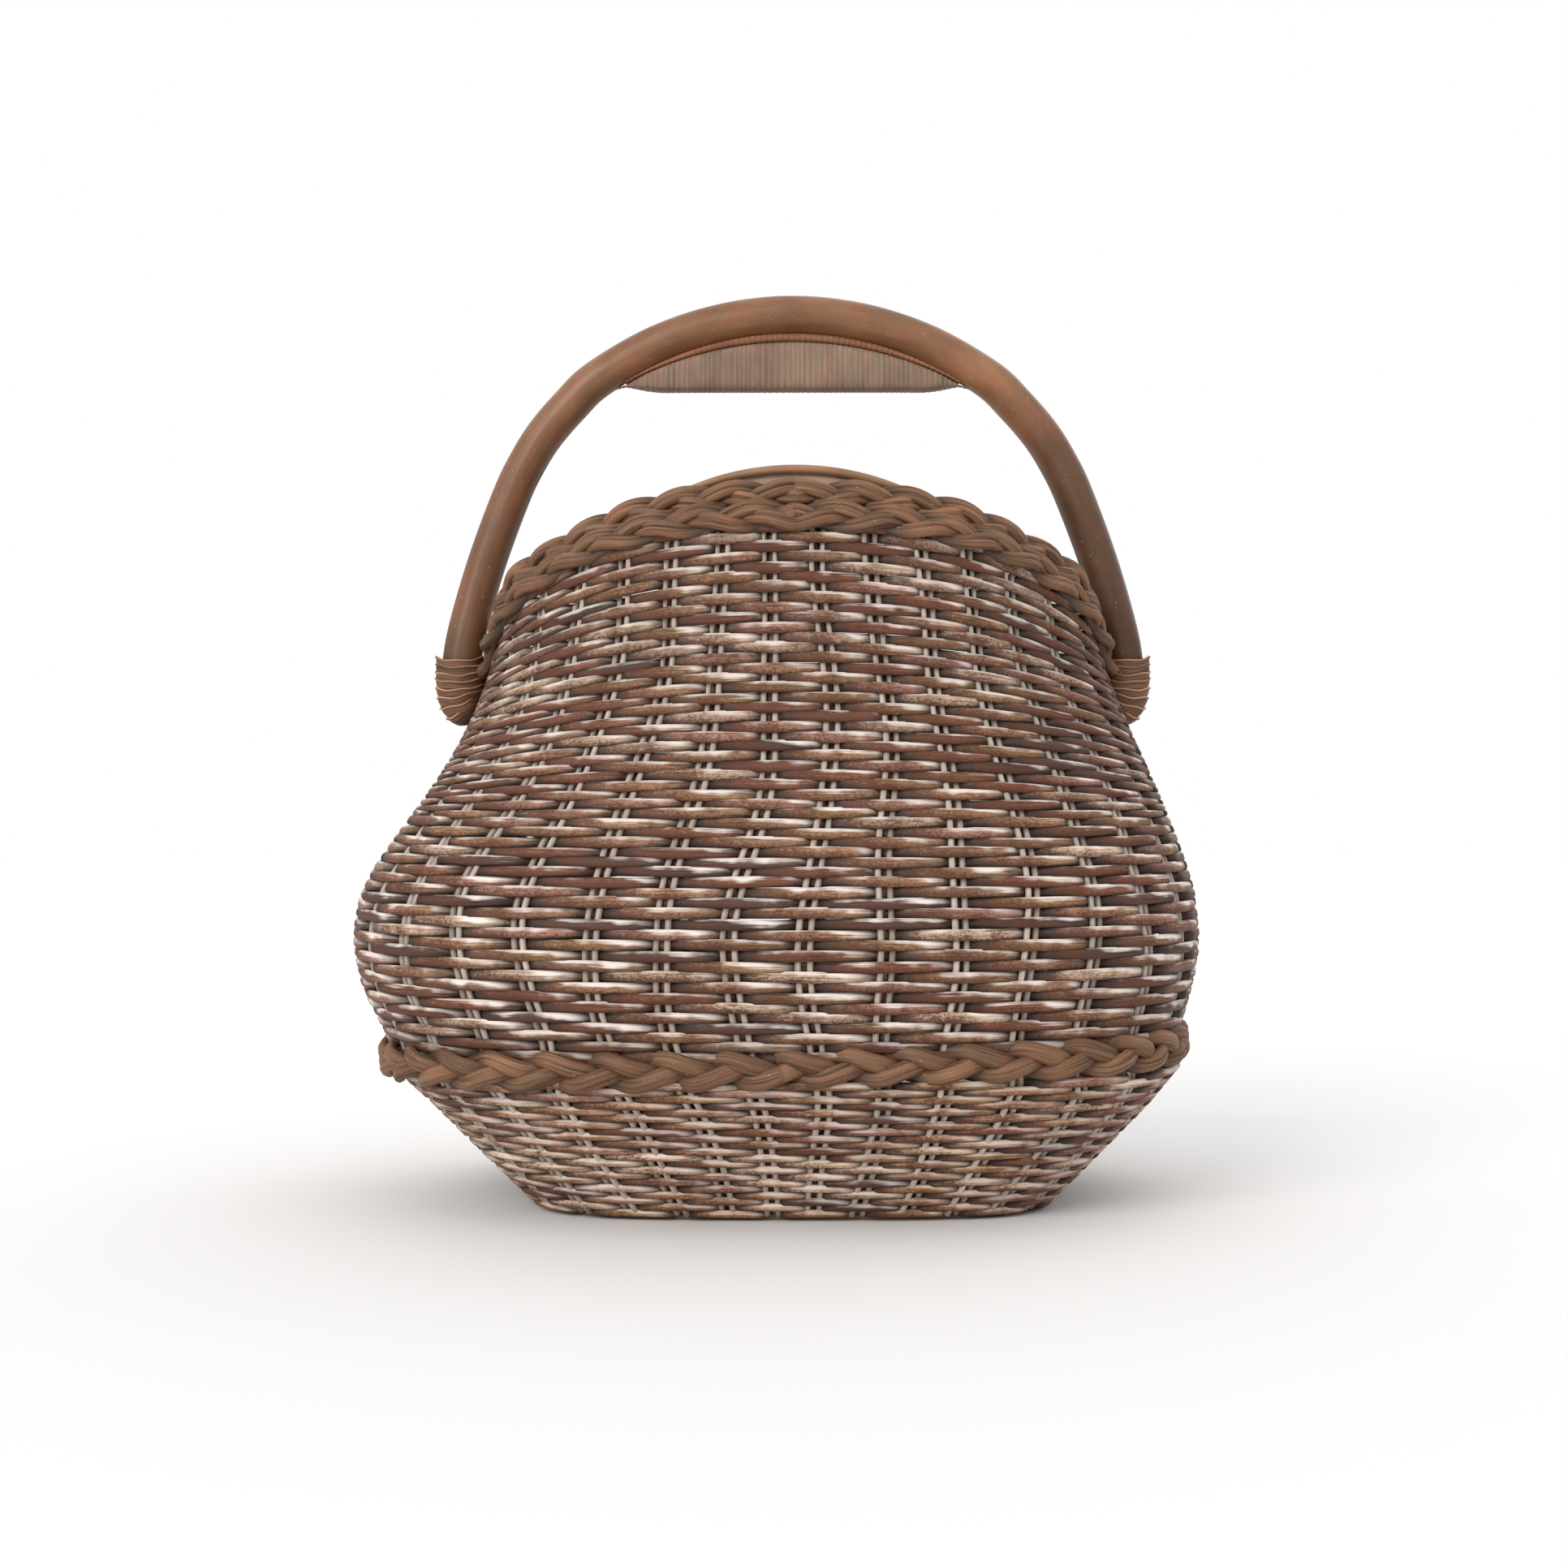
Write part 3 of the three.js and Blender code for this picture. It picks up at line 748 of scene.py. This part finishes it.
def plait(strands, line, outs, ups, distance, spacing, swing, dive, half_width, half_thick, seed, canes):
    """Three strands that cross in turn. distance is a length along the line that sets the phase."""
    source = np.random.default_rng(seed)
    places, narrow = CANES[canes]
    swing, half_width = (value * np.ones(len(line)) for value in (swing, half_width))
    for k in range(3):
        phase = math.pi * 2 * (distance / (3 * spacing) + k / 3)
        across = swing * 0.95 * (np.cos(phase) + 0.10 * np.cos(3 * phase))
        depth = dive * np.sin(2 * phase)
        centres = line + ups * across[:, None] + outs * depth[:, None]
        tangents = unit(np.gradient(centres, axis=0))
        strand_ups = unit(np.cross(outs, tangents))
        strand_outs = unit(np.cross(tangents, strand_ups))
        # relief is low where a strand dives under the others, and the cane material paints shade there
        relief = 0.55 + 0.45 * np.sin(2 * phase)
        streaks = 1 + CANE_STREAKS * wave_noise(len(line), 40, seed + k)
        for cane, aside in enumerate(places):
            tint = PLAIT_COLOUR * source.uniform(*CANE_SHADES) * streaks[:, None]
            cane_line = centres + strand_ups * (aside * half_width)[:, None]
            thick = half_thick * (0.96 - 0.08 * cane)
            strands.add(cane_line, strand_outs, strand_ups, thick, half_width * narrow, tint, relief,
                        sides=10, seed=seed + k + 0.3 * cane, closed=True)


def round_loop(line):
    """The tangents of a closed line, the length from its start to each point, and its whole length."""
    after = np.roll(line, -1, axis=0)
    steps = np.linalg.norm(after - line, axis=1)
    distance = np.concatenate([[0], np.cumsum(steps)[:-1]])
    return unit(after - np.roll(line, 1, axis=0)), distance, steps.sum()


RIM_INSET = 11.4
RIM_RISE = 1.2
RIM_TILT = 0.021
RIM_PERIOD = 91.5


def build_rim():
    angle = station_angle(np.linspace(0, STAKE_PAIRS, 900, endpoint=False))
    half = RIM_HIGH[0] - RIM_INSET
    z = (RIM_LOW[2] + RIM_HIGH[2]) / 2 + RIM_RISE + RIM_TILT * half * np.sin(angle)
    line = plan_point(angle, plan_radius(angle, half, TRAY_POWERS[1]), z)
    tangents, distance, total = round_loop(line)
    ups = np.tile(UPWARD, (len(line), 1))
    outs = unit(np.cross(tangents, ups))
    strands = Strands()
    plait(strands, line, outs, ups, distance, total / round(total / RIM_PERIOD) / 3, swing=5.9, dive=3.8,
          half_width=4.9, half_thick=3.6, seed=71, canes=1)
    strands.build("rim_plait", CANE, "rim_braid", "braid")


BORDER_RISE = 4.6
BORDER_PERIOD = 86
FLANK_FROM = (0.95, 1.35)  # radians from the back
FLANK_TO = (1.6, 2.1)
# name, depth below the edge and how much less at the flanks, inset and how much less at the flanks,
# tilt in radians, and how far the plait is shifted along
BORDER_PLAITS = (("outer", 19.7, 1.0, -0.5, 3.0, 0.5, BORDER_PERIOD / 2),
                 ("inner", 8.3, 4.0, 8.0, 9.0, 0.25, 0.0))


def build_border():
    angle = station_angle(np.linspace(0, STAKE_PAIRS, 800, endpoint=False))
    turn = from_back(angle)
    flank = smoothstep(turn, *FLANK_FROM) * (1 - smoothstep(turn, *FLANK_TO))
    for number, (name, down, lift, inset, push, tilt, shift) in enumerate(BORDER_PLAITS):
        z = below_edge(angle, down - lift * flank) + BORDER_RISE
        line = plan_point(angle, wall_radius(angle, z) - inset + push * flank, z)
        tangents, distance, total = round_loop(line)
        radial = radial_direction(angle)
        outs = unit(radial * math.cos(tilt) + unit(np.cross(radial, tangents)) * math.sin(tilt))
        ups = unit(np.cross(outs, tangents))
        signed = np.where(distance < total / 2, distance, distance - total)
        mirrored = np.sqrt(signed ** 2 + 6) + shift
        periods = round(total / 2 / BORDER_PERIOD)
        strands = Strands()
        plait(strands, line, outs, ups, mirrored, total / 2 / periods / 3, swing=5.2 + 1.5 * flank,
              dive=2.9, half_width=4.2 - 0.4 * flank, half_thick=3.0, seed=81 + number, canes=2)
        strands.build("border_strands_" + name, CANE, "border_plait_" + name, "braid")


# ------ handle
POLE_RADIUS = (BOW_HIGH[1] - BOW_LOW[1]) / 2
POLE_SWELL = 0.012
POLE_SHADE_LEFT = 0.40
POLE_SHADE_RIGHT = 0.72
ARCH_RADIUS = 189
ARCH_Z = BOW_HIGH[2] - POLE_RADIUS - ARCH_RADIUS + 1.6
ARCH_ANGLE = math.radians(36)
LEG_POINTS = ((127, 449.5), (142, 432), (152.5, 415), (161, 397), (174.5, 360.5), (185, 324.5),
              (189, 304), (190, BOW_LOW[2] + 1))


def catmull(points, count):
    """Points spaced evenly along a smooth curve through the given points."""
    points = np.array(points, dtype=float)
    padded = np.vstack([2 * points[0] - points[1], points, 2 * points[-1] - points[-2]])
    out = []
    for i in range(len(points) - 1):
        a, b, c, d = padded[i:i + 4]
        for t in np.linspace(0, 1, 12, endpoint=False):
            out.append(0.5 * (2 * b + (c - a) * t + (2 * a - 5 * b + 4 * c - d) * t ** 2
                              + (3 * b - a - 3 * c + d) * t ** 3))
    out = np.array(out + [points[-1]])
    length = lengths_along(out)
    places = np.linspace(0, length[-1], count)
    return np.stack([np.interp(places, length, out[:, k]) for k in range(out.shape[1])], axis=-1)


def upright_curve(points, count, side=1):
    """A smooth curve in the plane of the handle, through points given as x and z."""
    flat = catmull(points, count)
    return np.stack([side * flat[:, 0], 0 * flat[:, 0], flat[:, 1]], axis=-1)


def build_pole():
    arch = [(ARCH_RADIUS * math.sin(a), ARCH_Z + ARCH_RADIUS * math.cos(a))
            for a in np.linspace(-ARCH_ANGLE, ARCH_ANGLE, 7)]
    left = [(-x, z) for x, z in LEG_POINTS[::-1]]
    line = upright_curve(left + arch + list(LEG_POINTS), 260)
    ups = np.tile(FRONTWARD, (len(line), 1))
    outs = unit(np.cross(unit(np.gradient(line, axis=0)), ups))
    radius = POLE_RADIUS * (1 + POLE_SWELL * wave_noise(len(line), 14, 5))
    warm, pale = POLE_COLOUR * 0.85, POLE_COLOUR * 1.12
    share = smoothstep(wave_noise(len(line), 22, 9), -0.6, 0.8)[:, None]
    x = line[:, 0]
    # painted shade on the pole's legs, heavier on the right leg
    shade = 1 - POLE_SHADE_LEFT * smoothstep(-x, 120, 185) - POLE_SHADE_RIGHT * smoothstep(x, 100, 185)
    tint = (warm * share + pale * (1 - share)) * shade[:, None]
    strands = Strands()
    strands.add(line, outs, ups, radius, radius, tint, sides=28, seed=3.3)
    strands.build("handle_pole", POLE, "handle_bow", "pole")


GRIP_TOP_RADIUS = ARCH_RADIUS - POLE_RADIUS - 0.8
GRIP_DIP = 4.0  # how far the grip's top hangs below the pole at its middle
GRIP_SIDES = 24
GRIP_SQUARE = 0.45
GRIP_WINDING = 3.0
GRIP_RIDGE = 0.20
STRIP_WINDING = 3.2
STRIP_RIDGE = 0.25
STRIP_HALF_WIDTH = 5.0


def build_grip():
    """The crescent, wound with fine cane whose grain runs round it: each winding is a ridge."""
    half_chord = math.sqrt(GRIP_TOP_RADIUS ** 2 - (GRIP_LOW[2] - ARCH_Z) ** 2)
    x = np.linspace(-half_chord + 1, half_chord - 1, 620)
    top = ARCH_Z + np.sqrt(GRIP_TOP_RADIUS ** 2 - x ** 2) - GRIP_DIP * (1 - (x / half_chord) ** 2)
    bottom = GRIP_LOW[2] + 1.2 + 3.5 * smoothstep(np.abs(x), 0.70 * half_chord, half_chord)
    winding = np.cos(2 * math.pi * (x / GRIP_WINDING + 0.45 * wave_noise(len(x), 30, 12)))
    ridge = GRIP_RIDGE * winding * (1 + 0.8 * wave_noise(len(x), 12, 13))
    line = np.stack([x, 0 * x, (top + bottom) / 2], axis=-1)
    height = np.maximum((top - bottom) / 2, 0.4)
    thick = np.minimum((GRIP_HIGH[1] - GRIP_LOW[1]) / 2, 1.5 + height * 1.5) + ridge
    turn = 2 * math.pi * (np.arange(GRIP_SIDES) + 0.5) / GRIP_SIDES
    cos = np.sign(np.cos(turn)) * np.abs(np.cos(turn)) ** GRIP_SQUARE
    sin = np.sign(np.sin(turn)) * np.abs(np.sin(turn)) ** GRIP_SQUARE
    section = np.stack([0 * thick[:, None] * cos, thick[:, None] * cos,
                        (height + ridge * 0.3)[:, None] * sin], axis=-1)
    points = (line[:, None, :] + section).reshape(-1, 3)
    form = np.zeros((len(x), GRIP_SIDES, 3))
    # relief dips in the grooves between windings, where the winding material paints a little shade
    form[:, :, 0] = (0.78 + 0.22 * winding)[:, None]
    faces = loft_faces(len(x), GRIP_SIDES)
    mesh = grained_mesh("grip_winding", points, faces, WINDING_COLOUR, form, points[:, [2, 0, 1]])
    mesh.shade_smooth()
    place("grip_winding", mesh, WINDING, "handle_grip")


def build_strip():
    """The thin wound strip between the grip and the pole."""
    limit = 0.97 * math.acos((GRIP_LOW[2] + 4 - ARCH_Z) / GRIP_TOP_RADIUS)
    a = np.linspace(-limit, limit, 560)
    dip = GRIP_DIP * (1 - (a / limit) ** 2)
    middle = GRIP_TOP_RADIUS + 0.8 - 0.52 * dip
    ridge = STRIP_RIDGE * np.cos(2 * math.pi * a * GRIP_TOP_RADIUS / STRIP_WINDING)
    line = np.stack([middle * np.sin(a), 0 * a, ARCH_Z + middle * np.cos(a)], axis=-1)
    radial = np.stack([np.sin(a), 0 * a, np.cos(a)], axis=-1)
    strands = Strands()
    # relief dips between the strip's windings, where the winding material paints a little shade
    strands.add(line, np.tile(FRONTWARD, (len(a), 1)), radial, STRIP_HALF_WIDTH + ridge,
                0.7 + 0.58 * dip, STRIP_COLOUR, 0.6 + ridge, sides=12, seed=8.1)
    strands.build("grip_edge", WINDING, "grip_strip", "strip")


WRAP_BANDS = 8
WRAP_AXIS = ((190, 300), (190, 290), (189.5, 281), (187.5, 274), (184, 269))
WRAP_CORE = ((190, 292), (189.5, 282), (187, 274), (183, 267.5))
WRAP_CORE_RADIUS = 11.8
BAND_HALF_THICK = 0.8
BAND_HALF_HEIGHT = 3.6


def wrap_band(strands, centre, down, outer, k):
    """One band round the foot, wider at its top, with a pale cut rim."""
    place_at = k / (WRAP_BANDS - 1)
    radius = (POLE_RADIUS + 2.0) * math.sqrt(1 - 0.9 * max(0.0, place_at - 0.3) ** 2.4 / 0.7)
    turn = np.linspace(0, 2 * math.pi, 72, endpoint=False)
    radial = outer * np.cos(turn)[:, None] + FRONTWARD * np.sin(turn)[:, None]
    wobble = 2.6 * np.sin(turn) ** 2 - 1.3 + 0.4 * np.sin(5 * turn + k * 1.7)
    line = centre + radial * radius + down * wobble[:, None]
    flare = unit(-down + radial * (0.15 + 0.30 * place_at ** 2))
    outs = unit(np.cross(flare, unit(np.gradient(line, axis=0))))
    shade = 0.95 + 0.1 * math.sin(k * 2.4)
    # the bands' relief of 0.7 gives them a little painted shade from the cane material
    strands.add(line, outs, flare, BAND_HALF_THICK, BAND_HALF_HEIGHT, WRAP_COLOUR * shade, 0.7, sides=10,
                seed=k + 0.5, closed=True)
    rim = line + flare * (BAND_HALF_HEIGHT + 0.1) + radial * 0.3
    strands.add(rim, radial, np.broadcast_to(down, rim.shape), BAND_HALF_THICK, 0.55, WRAP_RIM_COLOUR,
                sides=6, seed=k + 7.5, closed=True)


def build_wraps():
    """Cane bands lashed round each foot, like nested cups that close under the pole's end."""
    for side, name in ((-1, "left"), (1, "right")):
        strands = Strands()
        axis = upright_curve(WRAP_AXIS, 60, side)
        tangents = unit(np.gradient(axis, axis=0))
        for k in range(WRAP_BANDS):
            i = int(round(k / (WRAP_BANDS - 1) * 52))
            outer = np.cross(tangents[i], FRONTWARD)
            wrap_band(strands, axis[i], tangents[i], outer * np.sign(outer[0] * side), k)
        core = upright_curve(WRAP_CORE, 24, side)
        core_ups = np.tile(FRONTWARD, (len(core), 1))
        core_outs = unit(np.cross(unit(np.gradient(core, axis=0)), core_ups))
        size = WRAP_CORE_RADIUS * np.sqrt(np.clip(1 - np.linspace(0, 1, len(core)) ** 4, 0.04, 1))
        # the core is darker, 0.7 of the bands' colour and with low relief for painted shade, as shade
        # under the bands
        strands.add(core, core_outs, core_ups, size, size, WRAP_COLOUR * 0.7, 0.3, sides=20, seed=20.0)
        strands.build("foot_wrap_" + name, CANE, "handle_wrap_" + name, "wrap")


# ------ crest, board and cushion
CREST_SPREAD = 50  # degrees to each side of the back
CREST_RADIUS = 148
CREST_TOP_Z = CREST_HIGH[2] + 3.2
CREST_BOTTOM_Z = CREST_LOW[2]
CREST_INSET = 29.5
CREST_HALF_THICK = 3.0


def build_crest():
    angle = np.radians(np.linspace(-CREST_SPREAD, CREST_SPREAD, 120))
    radius = plan_radius(angle, EDGE_HALF, WALL_POWERS[1]) - CREST_INSET
    top = CREST_TOP_Z - CREST_RADIUS + np.sqrt(CREST_RADIUS ** 2 - (radius * np.sin(angle)) ** 2)
    height = (top - CREST_BOTTOM_Z) / 2
    line = plan_point(angle, radius, CREST_BOTTOM_Z + height)
    radial = radial_direction(angle)
    ups = np.tile(UPWARD, (len(angle), 1))
    plate = Strands()
    plate.add(line, radial, ups, CREST_HALF_THICK, height, CREST_COLOUR, 0.8, sides=20, seed=4.4)
    plate.build("crest_board", CREST, "crest_plate", "crest")
    bow = Strands()
    bow_line = plan_point(angle, radius + 0.8, top + 2.4)
    bow.add(bow_line, radial, ups, 3.2, 2.7, CREST_BOW_COLOUR, sides=14, seed=6.2)
    bow.build("crest_edge", POLE, "crest_bow", "crest_bow")


def build_board():
    """The base board with eased edges."""
    angle = station_angle(np.linspace(0, STAKE_PAIRS, 288, endpoint=False))
    half = BOARD_HIGH[0] - 1
    top = BOARD_HIGH[2]
    levels = ((0.0, half - 0.7), (0.35, half - 0.15), (0.8, half), (top - 0.8, half),
              (top - 0.2, half - 0.4), (top, half - 0.9))
    points = np.concatenate(
        [plan_point(angle, plan_radius(angle, edge, TRAY_POWERS[0]), z) for z, edge in levels])
    form = np.tile([1.0, 0.0, 0.0], (len(points), 1))
    faces = loft_faces(len(levels), len(angle))
    mesh = grained_mesh("base_panel", points, faces, BOARD_COLOUR, form, points)
    place("base_panel", mesh, CREST, "base_board")


def fabric_material():
    n = Nodes("cotton")
    coordinates = n.add("TexCoord").outputs["Object"]
    fine = n.noise(coordinates, 1400.0, (1, 1, 0.3), detail=2)
    cross = n.noise(coordinates, 1400.0, (0.3, 1, 1), detail=2)
    soft = n.noise(coordinates, 14.0, detail=3)
    thread = n.mix(0.5, fine, cross)
    colour = n.mix(n.ramp(thread, (0.4, 0.0), (0.6, 1.0)), *COTTON_COLOURS)
    colour = n.times(colour, n.ramp(soft, (0.3, 0.86), (0.7, 1.05)))
    n.bump(thread, 0.5, 0.0006)
    return n.finish(colour, 0.95, Sheen_Weight=0.3, Sheen_Roughness=0.5, Specular_IOR_Level=0.15)


CUSHION_SEAM_Z = CUSHION_LOW[2] + 0.60 * (CUSHION_HIGH[2] - CUSHION_LOW[2])
CUSHION_POWER = 3.2
CUSHION_CORNERS = 0.018
CUSHION_VOXEL = 0.005  # metres
CUSHION_FRAMES = 20
CUSHION_PRESSURE = 4
CUSHION_SHRINK = 0.07  # how much the seam is drawn tight
CUSHION_REACH = 9.0  # the furthest that filling moves a point
CUSHION_GAP = 10.0  # from the tray's surface
SEAM_BAND = 4
PIPING_RADIUS = 3.0
PIPING_BAND = 5
PIPING_REACH = 0.045  # radians to each side
PIPING_OUT = 1.2
PIPING_SIDES = 10


def pad_mesh():
    """The pad before it is filled: a little smaller than it ends, with its corners drawn out."""
    angle = np.linspace(0, 2 * math.pi, 120, endpoint=False)
    low, high, half = CUSHION_LOW[2] + 0.5, CUSHION_HIGH[2] - 5.0, CUSHION_HIGH[0] - 4.0
    outline = [(low, 0.25), (low, 0.60), (low + 1, 0.80), (low + 6, 0.86), (low + 18, 0.94),
               (CUSHION_SEAM_Z - 3, 0.99), (CUSHION_SEAM_Z, 1.0), (CUSHION_SEAM_Z + 3, 0.985),
               (high - 6, 0.88), (high - 1.5, 0.72), (high, 0.45), (high + 0.5, 0.2)]
    corner = 1 + CUSHION_CORNERS * np.sin(2 * angle) ** 2
    rings = [plan_point(angle, plan_radius(angle, half * share, CUSHION_POWER) * corner, z)
             for z, share in outline]
    mesh = bpy.data.meshes.new("pad")
    mesh.from_pydata(np.concatenate(rings) * MM, [], loft_faces(len(rings), len(angle)))
    return mesh


def modified(mesh, kind, **settings):
    """A mesh after one modifier, as a mesh of its own."""
    thing = linked("pad", mesh)
    modifier = thing.modifiers.new("pad", kind)
    for key, value in settings.items():
        setattr(modifier, key, value)
    graph = bpy.context.evaluated_depsgraph_get()
    result = bpy.data.meshes.new_from_object(thing.evaluated_get(graph))
    bpy.data.objects.remove(thing)
    return result


def mesh_points(mesh):
    points = np.empty(len(mesh.vertices) * 3, dtype=np.float32)
    mesh.vertices.foreach_get("co", points)
    return points.reshape(-1, 3) / MM


def filled_points(mesh):
    """Where cloth simulation takes the pad's points when it is filled and its seam is drawn tight."""
    thing = linked("pad", mesh)
    seam = thing.vertex_groups.new(name="seam")
    near = np.flatnonzero(np.abs(mesh_points(mesh)[:, 2] - CUSHION_SEAM_Z) < SEAM_BAND)
    seam.add([int(i) for i in near], 1.0, "REPLACE")
    cloth = thing.modifiers.new("cloth", "CLOTH")
    cloth.settings.quality = 6
    cloth.settings.use_pressure = True
    cloth.settings.uniform_pressure_force = CUSHION_PRESSURE
    cloth.settings.effector_weights.gravity = 0
    cloth.settings.vertex_group_shrink = "seam"
    cloth.settings.shrink_min = 0
    cloth.settings.shrink_max = CUSHION_SHRINK
    cloth.point_cache.frame_end = CUSHION_FRAMES
    for number in range(1, CUSHION_FRAMES + 1):
        bpy.context.scene.frame_set(number)
    graph = bpy.context.evaluated_depsgraph_get()
    points = mesh_points(thing.evaluated_get(graph).data)
    bpy.data.objects.remove(thing)
    bpy.context.scene.frame_set(1)
    return points


def settle(points):
    """Keep the pad on the board and clear of the tray's inside."""
    points[:, 2] = np.maximum(points[:, 2], CUSHION_LOW[2])
    angle = np.arctan2(points[:, 0], -points[:, 1])
    wall = tray_point(angle, np.minimum(points[:, 2], TRAY_TOP_Z))
    room = np.hypot(wall[:, 0] - sway(points[:, 2]), wall[:, 1]) - CUSHION_GAP
    points[:, :2] *= np.minimum(1, room / np.hypot(points[:, 0], points[:, 1]))[:, None]
    return points


def piping(points):
    """A cord sewn round the pad, just outside its seam, as points and faces."""
    near = points[np.abs(points[:, 2] - CUSHION_SEAM_Z) < PIPING_BAND]
    angle = np.arctan2(near[:, 0], -near[:, 1])
    radius = np.hypot(near[:, 0], near[:, 1])
    places = np.linspace(-math.pi, math.pi, 240, endpoint=False)
    apart = np.abs(np.angle(np.exp(1j * (places[:, None] - angle))))
    outer = np.max(np.where(apart < PIPING_REACH, radius, 0), axis=1)
    for _ in range(6):
        outer = (np.roll(outer, 1) + outer + np.roll(outer, -1)) / 3
    outer += PIPING_OUT
    z = 0 * outer + CUSHION_SEAM_Z + 0.5 * np.sin(7 * places + 0.8)
    centres = np.stack([outer * np.sin(places), -outer * np.cos(places), z], axis=-1)
    radial = unit(centres * LEVEL)
    turn = np.linspace(0, 2 * math.pi, PIPING_SIDES, endpoint=False)[None, :, None]
    ring = centres[:, None] + PIPING_RADIUS * (radial[:, None] * np.cos(turn) + UPWARD * np.sin(turn))
    count, sides = ring.shape[:2]
    faces = [[i * sides + j, (i + 1) % count * sides + j, (i + 1) % count * sides + (j + 1) % sides,
              i * sides + (j + 1) % sides] for i in range(count) for j in range(sides)]
    return ring.reshape(-1, 3), faces


def build_cushion():
    """A filled pad, blown up by cloth simulation, with a piped seam round it."""
    pad = modified(pad_mesh(), "REMESH", mode="VOXEL", voxel_size=CUSHION_VOXEL)
    start = mesh_points(pad)
    points = start.copy()
    move = filled_points(pad) - start
    length = np.linalg.norm(move, axis=1, keepdims=True)
    points = start + move * np.minimum(1, CUSHION_REACH / np.maximum(length, 1e-6))
    pad.vertices.foreach_set("co", (settle(points) * MM).astype(np.float32).ravel())
    smooth = modified(pad, "SUBSURF", levels=1, render_levels=1)
    cloth_points = mesh_points(smooth)
    cord_points, cord_faces = piping(cloth_points)
    first = len(cloth_points)
    faces = [list(face.vertices) for face in smooth.polygons]
    faces += [[first + i for i in face] for face in cord_faces]
    mesh = bpy.data.meshes.new("bed_cushion")
    mesh.from_pydata(np.concatenate([cloth_points, cord_points]) * MM, [], faces)
    mesh.shade_smooth()
    piece = place("bed_cushion", mesh, fabric_material(), "cushion", body="cushion")


# ------ stage
FLOOR_REACH = 6.0  # metres


def build_stage():
    mesh = bpy.data.meshes.new("floor")
    corners = [(x * FLOOR_REACH, y * FLOOR_REACH, 0) for x, y in ((-1, -1), (1, -1), (1, 1), (-1, 1))]
    mesh.from_pydata(corners, [], [(0, 1, 2, 3)])
    n = Nodes("pale_floor")
    n.shader.inputs["Base Color"].default_value = FLOOR_COLOUR
    n.shader.inputs["Roughness"].default_value = 0.9
    n.shader.inputs["Specular IOR Level"].default_value = 0.1
    mesh.materials.append(n.material)
    linked("floor", mesh)


def sun_light(name, heading, angle, strength, colour=(1, 1, 1)):
    """A soft light that comes from a heading and is as wide as the angle in degrees."""
    light = bpy.data.lights.new(name, "SUN")
    light.energy = strength
    light.angle = math.radians(angle)
    light.color = colour
    linked(name, light).rotation_euler = (-Vector(heading)).to_track_quat("-Z", "Y").to_euler()


def build_lights():
    """A plain white surround that only the camera sees, and four soft lights that do the work."""
    world = bpy.data.worlds.new("studio")
    world.use_nodes = True
    background = world.node_tree.nodes["Background"]
    background.inputs["Color"].default_value = (1, 1, 1, 1)
    background.inputs["Strength"].default_value = 1.0
    world.cycles_visibility.diffuse = False
    world.cycles_visibility.glossy = False
    bpy.context.scene.world = world
    sun_light("top", (0, 0, 1), 160, 3.0)
    sun_light("key", (-0.65, -1, 0.55), 35, 1.8, (1.0, 0.985, 0.96))
    sun_light("fill", (0.8, -1, 0.35), 70, 0.15)
    sun_light("back", (0.3, 1, 0.5), 90, 1.0)


CAMERA_DISTANCE = 1.5
CAMERA_HEIGHT = 0.2325
CAMERA_YAW = math.radians(0.2)
CAMERA_PAN = math.radians(0.185)
FOCAL = 60.2
SENSOR = 36


def build_camera():
    data = bpy.data.cameras.new("camera")
    data.lens = FOCAL
    data.sensor_width = SENSOR
    camera = linked("camera", data)
    camera.location = (CAMERA_DISTANCE * math.sin(CAMERA_YAW), -CAMERA_DISTANCE * math.cos(CAMERA_YAW),
                       CAMERA_HEIGHT)
    camera.rotation_euler = (math.radians(90), 0, CAMERA_YAW + CAMERA_PAN)
    bpy.context.scene.camera = camera


build_cushion()
build_tray()
build_wall()
build_stakes()
build_rim()
build_border()
build_pole()
build_grip()
build_strip()
build_wraps()
build_crest()
build_board()
build_stage()
build_lights()
build_camera()

bpy.context.scene.view_settings.view_transform = "Standard"
